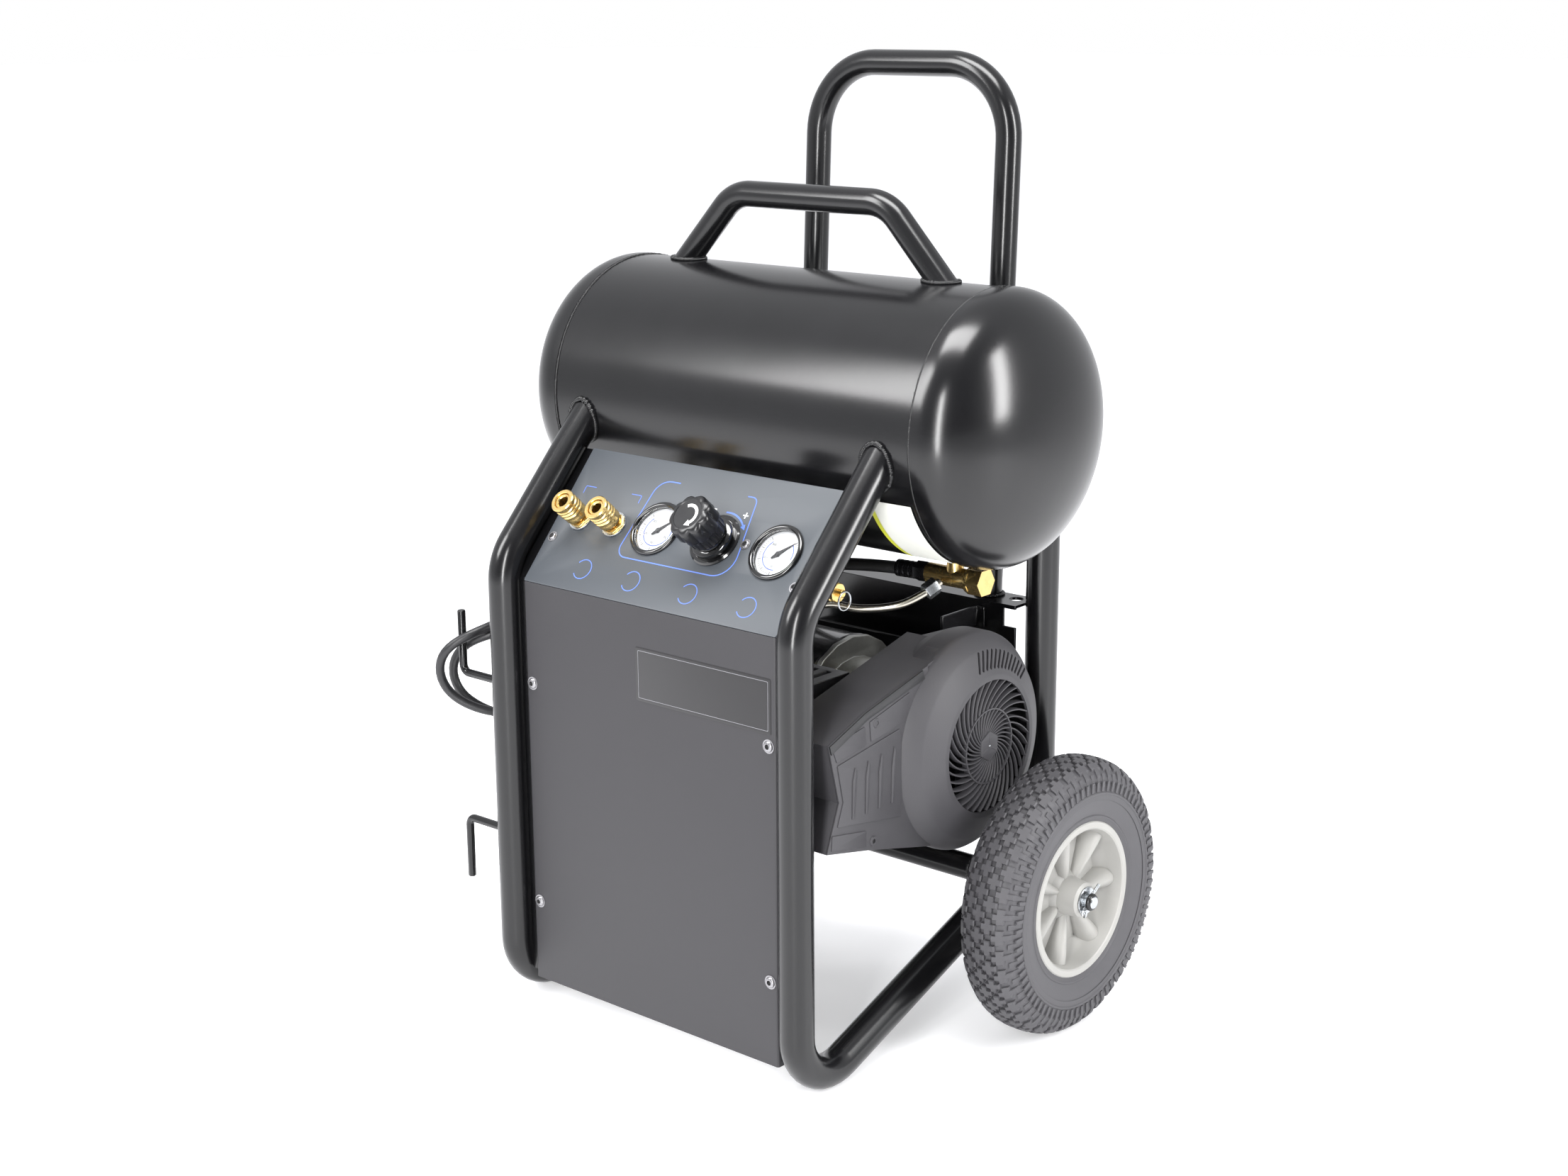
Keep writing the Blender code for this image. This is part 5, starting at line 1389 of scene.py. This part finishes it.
MOTOR_R, STATOR_R = 0.077, 0.050
can = [
    (MOTOR_R - 0.0012, 0.0445), (MOTOR_R, 0.0433), (MOTOR_R, 0.0400), (MOTOR_R - 0.0008, 0.0392),
    (MOTOR_R - 0.0008, -0.0900), (MOTOR_R, -0.0908), (MOTOR_R, -0.0938), (MOTOR_R - 0.0012, -0.095),
    (0.073, -0.095), (0.073, -0.075), (STATOR_R, -0.075), (STATOR_R, -0.005), (0.073, -0.005),
    (0.073, 0.0445),
]
fit(
    lathe("motor_can", can, PUMP, (1, 0, 0), MOTOR_ENAMEL, 96, True), "frame", "black_powder_coat",
    "motor_housing"
)
end_bell = [
    (0.0080, -0.0953), (MOTOR_R, -0.0953), (MOTOR_R, -0.1005), (MOTOR_R - 0.0012, -0.1022),
    (0.0620, -0.1120), (0.0560, -0.1140), (0.0300, -0.1148), (0.0240, -0.1160), (0.0130, -0.1160),
    (0.0080, -0.1150),
]
bell = lathe("bell_skin", end_bell, PUMP, (1, 0, 0), CAST, 72, True)
web = box_mesh("web", (0.034, 0.0024, 0.0036), (0.040, 0, 0.1130), offset=0.0006, segments=2)
left_face = facing(PUMP, (-1, 0, 0), (0, 1, 0))
webs = repeated("webs", web, 12, CAST, left_face)
fit(joined("motor_end_bell", [bell, webs]), "frame", "cast_aluminium", "motor_end_cap")
for name, slot, material, width in (
    ("crankcase", "cast_aluminium", CAST, 0.0010),
    ("cylinder_head", "cast_aluminium", CAST, 0.0006),
    ("head_fitting", "brass", BRASS, 0.0006),
    ("intake_filter", "dark_plastic", MOULDED_DARK, 0.0008),
    ("rubber_mount_left", "black_rubber", MOUNT_RUBBER, 0.0015),
    ("rubber_mount_right", "black_rubber", MOUNT_RUBBER, 0.0015),
):
    eased_copy(name, "frame", slot, material, width)
paint_node("crankshaft", ZINC)
paint_node("piston", CAST)
paint_node("cooling_fan", MOULDED_DARK)

# the cylinder with its cooling fins, from the crankcase to the head
fins = [(0.0245, 0.0800), (0.0290, 0.0800)]
for i in range(9):
    foot = 0.0740 - 0.0082 * i
    fins += [(0.0262, foot + 0.0038), (0.0262, foot + 0.0016), (0.0290, foot + 0.0012), (0.0290, foot)]
fins += [(0.0290, 0.0), (0.0245, 0.0)]
barrel_low, barrel_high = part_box("cylinder")
barrel_x = (barrel_low.x + barrel_high.x) / 2
length = barrel_high.y - barrel_low.y
fins = [(r, h * length / 0.0800) for r, h in fins]
finned = lathe("finned_barrel", fins, (barrel_x, barrel_low.y, PUMP.z), (0, 1, 0), CAST, 64, True, 30)
fit(finned, "frame", "cast_aluminium", "cylinder")
head_low, head_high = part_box("cylinder_head")
bolt_x, bolt_z = (head_low.x + 0.009, head_high.x - 0.009), (head_low.z + 0.010, head_high.z - 0.010)
for number, (x, z) in enumerate((x, z) for z in bolt_z for x in bolt_x):
    button_screw(f"head_bolt_{number}", facing((x, head_low.y, z), (0, -1, 0)), 0.0048, 0.0030)

# ---------------------------------------------------------------- fan shroud
# Two halves moulded in spark-textured dark nylon. The outer one carries a round grille of swept
# vanes over the fan, vent slots above it, and raised panels and slashes on its duct, and a smoother
# strip along the duct's chamfered upper edge whose darker colour is painted shade.
RIM_R, GRILLE_R, GRILLE_X = 0.105, 0.0632, 0.215
bell_skin = [
    (GRILLE_R, 0.2138), (GRILLE_R, GRILLE_X), (0.0672, GRILLE_X), (0.0690, 0.2146), (0.0890, 0.2050),
    (0.0915, 0.2034), (0.1025, 0.1915), (0.1045, 0.1885), (RIM_R, 0.1860), (RIM_R, 0.1665), (0.1042, 0.1640),
    (0.0846, 0.1125), (0.0840, 0.1100), (0.0815, 0.1100), (0.0820, 0.1130), (0.1018, 0.1650),
    (0.1022, 0.1850), (0.1010, 0.1870), (0.0890, 0.2005), (0.0870, 0.2020), (0.0672, 0.2115),
    (GRILLE_R, 0.2120),
]
hood = lathe("hood", bell_skin, (0, PUMP.y, PUMP.z), (1, 0, 0), MOULDED, 144, True, 28)
right_face = facing((0, PUMP.y, PUMP.z), (1, 0, 0), (0, 1, 0))


def slot_mesh(length, wide, deep, radius, lean):
    """A round-ended slot's solid, standing along Z at a radius, leaning from the radial line."""
    outline = []
    for end in (1, -1):
        for i in range(7):
            a = math.radians(-90 + 30 * i) + (0 if end > 0 else math.pi)
            outline.append(
                Vector((end * (length - wide) / 2 + wide / 2 * math.cos(a), wide / 2 * math.sin(a), 0))
            )
    turn = Matrix.Translation((radius, 0, 0)) @ Matrix.Rotation(lean, 4, "Z")
    return lofted("slot", [[turn @ (p + Vector((0, 0, z))) for p in outline] for z in deep])


def carved(target, tool):
    """Cuts the tool out of the target, and keeps the plain mesh."""
    step = target.modifiers.new("carve", "BOOLEAN")
    step.operation, step.solver, step.object = "DIFFERENCE", "EXACT", tool
    keep_result(target)
    bpy.data.objects.remove(tool, do_unlink=True)
    return target


SLOT_COUNT, SLOT_FIRST, SLOT_ARC = 13, math.radians(97), math.radians(-58)
vents = repeated(
    "vents", slot_mesh(0.0200, 0.0026, (0.190, 0.225), 0.0815, math.radians(-32)), SLOT_COUNT, MOULDED,
    right_face, SLOT_FIRST, SLOT_ARC
)
hood = carved(hood, vents)

# the duct in front of the fan, as walls round an outline, open towards the pump
side_x, deep_x, wall, arc_r = 0.190, 0.130, 0.0025, 0.1000
duct_path = [
    (0.2200, 0.3800), (0.0840, 0.3455), (0.034, 0.3265), (0.0485, 0.2705), (0.032, 0.2270), (0.094, 0.2140),
    (0.2200, 0.1830)
]
middle = Vector((0.14, 0.275))
inner_path = []
for i, p in enumerate(duct_path):
    p = Vector(p)
    if i == 0:
        inner_path.append(p + Vector((0, -wall)))
    elif i == len(duct_path) - 1:
        inner_path.append(p + Vector((0, wall)))
    else:
        a, b = (Vector(duct_path[i - 1]) - p).normalized(), (Vector(duct_path[i + 1]) - p).normalized()
        away = (a + b).normalized()
        if away.dot(middle - p) < 0:
            away = -away
        inner_path.append(p + away * wall / max(math.sin(a.angle(b) / 2), 0.5))
walls = [tuple(p) for p in duct_path] + [tuple(p) for p in reversed(inner_path)]
across_x = Matrix(((0, 0, 1), (1, 0, 0), (0, 1, 0))).to_4x4()


def on_side(x):
    """A placement for flat outlines of (depth, height) on the shroud's side, at that distance out."""
    return Matrix.Translation((x, FRONT, 0)) @ across_x


duct = plate(
    "duct_walls", [walls], side_x - 0.0012 - deep_x, on_side((side_x - 0.0012 + deep_x) / 2), MOULDED, 0.0004
)
fan_centre = Vector((0.2375, 0.281))
top_hit, low_hit = Vector((-0.0620, 0.0785)), Vector((-0.0560, -0.0828))
first_turn, last_turn = math.atan2(top_hit.y, top_hit.x), 2 * math.pi + math.atan2(low_hit.y, low_hit.x)
top_hit, low_hit = fan_centre + top_hit, fan_centre + low_hit
face = [(0.034, 0.3265), (0.0840, 0.3455), (top_hit.x, 0.3455 + (top_hit.x - 0.0840) * 0.0345 / 0.136)]
turns = (math.degrees(first_turn + (last_turn - first_turn) * i / 28) for i in range(29))
face += arc_of(arc_r, fan_centre, turns)
face += [
    (low_hit.x, 0.2140 - (low_hit.x - 0.094) * 0.031 / 0.126), (0.094, 0.2140), (0.032, 0.2270),
    (0.0485, 0.2705)
]
face_plate = plate("duct_face", [face], 0.0030, on_side(side_x - 0.0015), MOULDED, 0.0010)
raised = []
for name, corners, lift, radius in (
    ("forward", [(0.0375, 0.3250), (0.0830, 0.3330), (0.0850, 0.3150), (0.0445, 0.3090)], 0.0010, 0.001),
    ("upper", [(0.0900, 0.3355), (0.1480, 0.3500), (0.1390, 0.3240), (0.0920, 0.3165)], 0.0010, 0.001),
    ("main",
    [(0.0450, 0.3060), (0.1330, 0.3190), (0.1360, 0.2730), (0.1340, 0.2350), (0.0450, 0.2490),
    (0.0530, 0.2705)], 0.0012, 0.001),
    ("lower", [(0.0380, 0.2430), (0.0850, 0.2350), (0.0850, 0.2190), (0.0370, 0.2290)], 0.0010, 0.001),
):
    raised.append(
        plate(f"raised_{name}", [eased(corners, radius, 3)], lift * 2, on_side(side_x), MOULDED, 0.0005)
    )
for i in range(4):
    y = 0.0640 + 0.0185 * i
    slash = [
        (y, 0.2520), (y + 0.0030, 0.2535), (y + 0.0062, 0.2930 + 0.002 * i),
        (y + 0.0040, 0.2990 + 0.002 * i), (y + 0.0006, 0.2870)
    ]
    raised.append(plate(f"gill_{i}", [slash], 0.0050, on_side(side_x + 0.0004), MOULDED, 0.0011))
ribs_on_rim = []
for number, degrees in enumerate((118, 208, 252, 335, 22)):
    turn = math.radians(degrees)
    pad = block(
        f"rim_pad_{number}", (0.1015, -0.0110, 0.1700), (RIM_R - 0.0001, 0.0110, 0.1845), MOULDED, 0.0012
    )
    pad.data.transform(right_face @ Matrix.Rotation(turn, 4, "Z"))
    ribs_on_rim.append(pad)
shroud = joined("shroud_moulding", [hood, duct, face_plate, *raised, *ribs_on_rim])
fit(shroud, "frame", "dark_plastic", "fan_shroud")

# a smoother strip along the duct's chamfered upper edge: its gloss is the nylon's own, its darker colour is
# painted shade of that facet
chamfer_shade_outline = [
    (0.0345, 0.3262), (0.0842, 0.3452), (0.1660, 0.3660), (0.1690, 0.3572), (0.0880, 0.3385), (0.0370, 0.3180)
]
fit(
    plate("duct_trim", [chamfer_shade_outline], 0.0022, on_side(side_x + 0.0001), MOULDED_DARK, 0.0006), "frame",
    "dark_plastic"
)
for number, (y, z) in enumerate(((0.0990, 0.3325), (0.0955, 0.2225))):
    boss_ring = [(0.0022, 0.0016), (0.0042, 0.0016), (0.0046, 0.0010), (0.0046, -0.001), (0.0022, -0.001)]
    fit(
        lathe(f"duct_boss_{number}", boss_ring, at(side_x, y, z), (1, 0, 0), MOULDED, 32, True), "frame",
        "dark_plastic"
    )
    # the hole is a near-black plug under the boss's rim, painting the shade inside it
    well = [(0, 0.0004), (0.0023, 0.0004), (0.0023, -0.0008), (0, -0.0008)]
    fit(
        lathe(f"duct_boss_hole_{number}", well, at(side_x, y, z), (1, 0, 0), SOCKET_DARK, 24), "frame",
        "dark_plastic"
    )

# the grille: 36 swept vanes, a ring half way out and a six-sided boss with its screw
VANES, HUB_R, MID_R, TWIST, VANE_T = 36, 0.0125, 0.0354, math.radians(-62), 0.0018
rings = []
for i in range(13):
    t = i / 12
    r = HUB_R - 0.001 + (GRILLE_R + 0.0008 - HUB_R) * t
    a = TWIST * t**0.75
    step = 0.01
    ahead = (HUB_R - 0.001 + (GRILLE_R + 0.0008 - HUB_R) * (t + step), TWIST * (t + step) ** 0.75)
    here = Vector((r * math.cos(a), r * math.sin(a), 0))
    there = Vector((ahead[0] * math.cos(ahead[1]), ahead[0] * math.sin(ahead[1]), 0))
    along = (there - here).normalized()
    aside = Vector((-along.y, along.x, 0)) * VANE_T / 2
    face_x = GRILLE_X - 0.0006 - 0.0012 * (1 - t)
    section = [(-0.6, 0), (0.6, 0), (1, 0.0008), (1, 0.0075), (-1, 0.0075), (-1, 0.0008)]
    rings.append([here + aside * k + Vector((0, 0, face_x - down)) for k, down in section])
vane = lofted("vane", rings)
grille_parts = [repeated("vanes", vane, VANES, MOULDED, right_face)]
ring_profile = [
    (MID_R - 0.0007, GRILLE_X - 0.0007), (MID_R + 0.0007, GRILLE_X - 0.0007),
    (MID_R + 0.0008, GRILLE_X - 0.0065), (MID_R - 0.0008, GRILLE_X - 0.0065)
]
grille_parts.append(lathe("mid_ring", ring_profile, (0, PUMP.y, PUMP.z), (1, 0, 0), MOULDED, 96, True))
hexagon = eased(arc_of(0.0145, (0, 0), range(30, 390, 60)), 0.0008, 2)
grille_parts.append(
    plate("grille_boss", [hexagon], 0.0095, right_face @ Matrix.Translation((0, 0, GRILLE_X - 0.0050)),
    MOULDED, 0.0006)
)
for i in range(3):
    spur = block(
        f"spur_{i}", (0.0035, -0.0012, GRILLE_X - 0.0008), (0.0120, 0.0012, GRILLE_X - 0.0001), MOULDED,
        0.0003
    )
    spur.data.transform(right_face @ Matrix.Rotation(math.radians(120 * i + 90), 4, "Z"))
    grille_parts.append(spur)
fit(joined("fan_grille", grille_parts), "frame", "dark_plastic")
screw = [(0, 0.0004), (0.0012, 0.0003), (0.0021, -0.0002), (0.0023, -0.0010), (0, -0.0010)]
fit(
    lathe("grille_screw", screw, (GRILLE_X - 0.0005, PUMP.y, PUMP.z), (1, 0, 0), ZINC, 24), "frame",
    "bright_steel"
)

# ---------------------------------------------------------------- air lines
# From the pump's head a bright steel tube runs up to the brass check valve under the tank; from the
# valve a rubber hose in a black braid, crimped in a ferrule, feeds the switch. A drain is behind.
STEEL_TUBE = surface("drawn_steel_tube", "#b7b3a8", "#a29d92", 9, 0.25, 0.8, 0.00002, 0.05, metallic=1.0)
BRAID = surface("braided_hose", "#161617", "#222224", 1.2, 0.5, 0.9, 0.0004)
FERRULE = surface("black_zinc_ferrule", "#1b1b1d", "#242427", 5, 0.28, 1.0, 0.00003, 0.05, metallic=0.8)
for name in ("check_valve", "drain_valve"):
    eased_copy(name, "frame", "brass", BRASS, 0.0007)
eased_copy("drain_valve_key", "drain_key", "brass", BRASS, 0.0012)
delivery_route = [
    (0.170, 0.2175, 0.4355), (0.164, 0.205, 0.427), (0.148, 0.185, 0.416), (0.120, 0.165, 0.412),
    (0.095, 0.145, 0.416), (0.085, 0.118, 0.408), (0.095, 0.098, 0.385), (0.112, 0.083, 0.362),
    (0.116, 0.0785, 0.350), (0.116, 0.0785, 0.3405),
]
delivery = [at(*p) for p in smooth_through(delivery_route, 0.004)]
fit(sweep("delivery_tube", delivery, 0.0036, STEEL_TUBE, 24), "frame", "bright_steel", "discharge_tube")


def hex_nut(name, start, end, radius, material, body="frame", slot="bright_steel"):
    """A six-sided nut between two points, with its corners turned down."""
    start, end = Vector(start), Vector(end)
    length = (end - start).length
    outline = ring_of(radius, sides=6)
    made = plate(
        name, [outline], length, facing((start + end) / 2, end - start), material, min(0.0008, length / 5)
    )
    return fit(made, body, slot)


hex_nut("delivery_tube_nut", delivery[1], delivery[4] + (delivery[4] - delivery[1]) * 0.1, 0.0082, ZINC)
hex_nut("delivery_tube_head_nut", delivery[-3], delivery[-1], 0.0078, BRASS, slot="brass")
hose_route = [
    (0.1477, 0.230, 0.4385), (0.120, 0.230, 0.4375), (0.080, 0.230, 0.4345), (0.040, 0.226, 0.4305),
    (0.000, 0.212, 0.4265), (-0.028, 0.184, 0.4235), (-0.044, 0.150, 0.4215), (-0.057, 0.122, 0.4195),
    (-0.073, 0.1065, 0.4185), (-0.080, 0.1060, 0.4185), (-0.0874, 0.106, 0.4185),
]
hose = [at(*p) for p in smooth_through(hose_route, 0.004)]
fit(sweep("braided_air_hose", hose, 0.006, BRAID, 28), "frame", "black_rubber", "tank_hose")
for word, line in (("valve", hose[:8]), ("switch", hose[::-1][:8])):
    hex_nut(f"hose_nut_{word}", line[0], line[0] + (line[1] - line[0]).normalized() * 0.013, 0.0098, FERRULE)
    start, along = line[0] + (line[1] - line[0]).normalized() * 0.013, (line[4] - line[3]).normalized()
    ferrule = [(0.0061, 0.0), (0.0082, 0.0)]
    for i in range(3):
        ferrule += [
            (0.0082, 0.0040 + 0.0062 * i), (0.0074, 0.0048 + 0.0062 * i), (0.0074, 0.0058 + 0.0062 * i),
            (0.0082, 0.0064 + 0.0062 * i)
        ]
    ferrule += [(0.0082, 0.0225), (0.0076, 0.0232), (0.0061, 0.0232)]
    fit(lathe(f"hose_ferrule_{word}", ferrule, start, along, FERRULE, 40, True), "frame", "bright_steel")

# ---------------------------------------------------------------- switch box
# A glossy moulded box behind the panel's left end holds the pressure switch; a red lever on its end
# turns the compressor on, and the cord leaves beside it.
SIGNAL_RED = surface("signal_red_abs", "#a8161a", "#b31a1e", 14, 0.32, 1.0, 0.00003)
case_low, case_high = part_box("pressure_switch")
case_piece = block("switch_case", case_low, case_high, NYLON, 0.004, 3)
lid = block(
    "switch_lid", (case_low.x + 0.006, case_low.y, case_low.z + 0.006),
    (case_high.x - 0.006, case_low.y + 0.004, case_high.z - 0.006), NYLON, 0.001
)
fit(joined("switch_box", [case_piece, lid]), "frame", "gloss_plastic", "pressure_switch")
eased_copy("switch_lever", "lever", "lever_plastic", SIGNAL_RED, 0.0008)

# ---------------------------------------------------------------- cord hooks and feet
# Two hooks of 8 mm round bar, bent up and down, are welded to the left tube for the cord. Turned
# rubber feet on the rear tubes meet the floor with the wheels when the machine is laid back to run.
HOOK_R, HOOK_X, HOOK_RISE = 0.004, -0.2455, 0.0625
for word, z, way in (("upper", 0.3205, 1), ("lower", 0.1705, -1)):
    path = bent(
        [at(-SIDE_X - TUBE_R, 0, z), at(HOOK_X, 0, z), at(HOOK_X, 0, z + way * (HOOK_RISE - 0.0012))],
        [0.008], 8
    )
    tip = path[-1] + Vector((0, 0, way * 0.0010))
    radii = [HOOK_R] * len(path) + [HOOK_R - 0.0010]
    fit(
        sweep(f"bent_hook_{word}", path + [tip], 0, POWDER_COAT, 24, radii=radii), "frame",
        "black_powder_coat", f"cord_hook_{word}"
    )
    seam = [at(-SIDE_X - TUBE_R - 0.0004, y, up) for y, up in ring_of(0.0048, (0, z), 24)]
    weld(f"hook_weld_{word}", seam, 0.0015, 0.0013, 41)
for word, side in SIDES:
    low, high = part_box(f"rest_foot_{word}")
    deep = high.y - low.y
    foot = [
        (0, 0), (0.0140, 0), (0.0150, 0.0012), (0.0149, 0.008), (0.0134, deep - 0.0014), (0.0124, deep),
        (0.0050, deep), (0.0042, deep - 0.004), (0, deep - 0.004)
    ]
    piece = lathe(
        f"turned_foot_{word}", foot, ((low.x + high.x) / 2, low.y, (low.z + high.z) / 2), (0, 1, 0),
        MOUNT_RUBBER, 48
    )
    fit(piece, "frame", "black_rubber", f"rest_foot_{word}")

# a plain care label low on the tank's right end
LABEL_WHITE = surface("white_label_film", "#dfe0d8", "#e6e7e0", 20, 0.4, 2.0, 0.00001, 0.02)
LABEL_YELLOW = surface("yellow_label_film", "#c9cc3a", "#d1d444", 20, 0.4, 2.0, 0.00001, 0.02)
for name, material, low_x, high_x in (
    ("label_white", LABEL_WHITE, 0.168, 0.212),
    ("label_yellow_edge", LABEL_YELLOW, 0.1635, 0.1685),
):
    rings = []
    for i in range(15):
        a = math.radians(205 + 40 * i / 14)
        direction = Vector((0, math.cos(a), math.sin(a)))
        section = ((low_x, 0.00004), (high_x, 0.00004), (high_x, 0.00025), (low_x, 0.00025))
        rings.append([Vector((x, TANK.y, TANK.z)) + direction * (TANK_R + off) for x, off in section])
    fit(new_piece(name, lofted(name, rings), material), "frame", "black_powder_coat")


# ---------------------------------------------------------------- sizes
low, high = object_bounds()
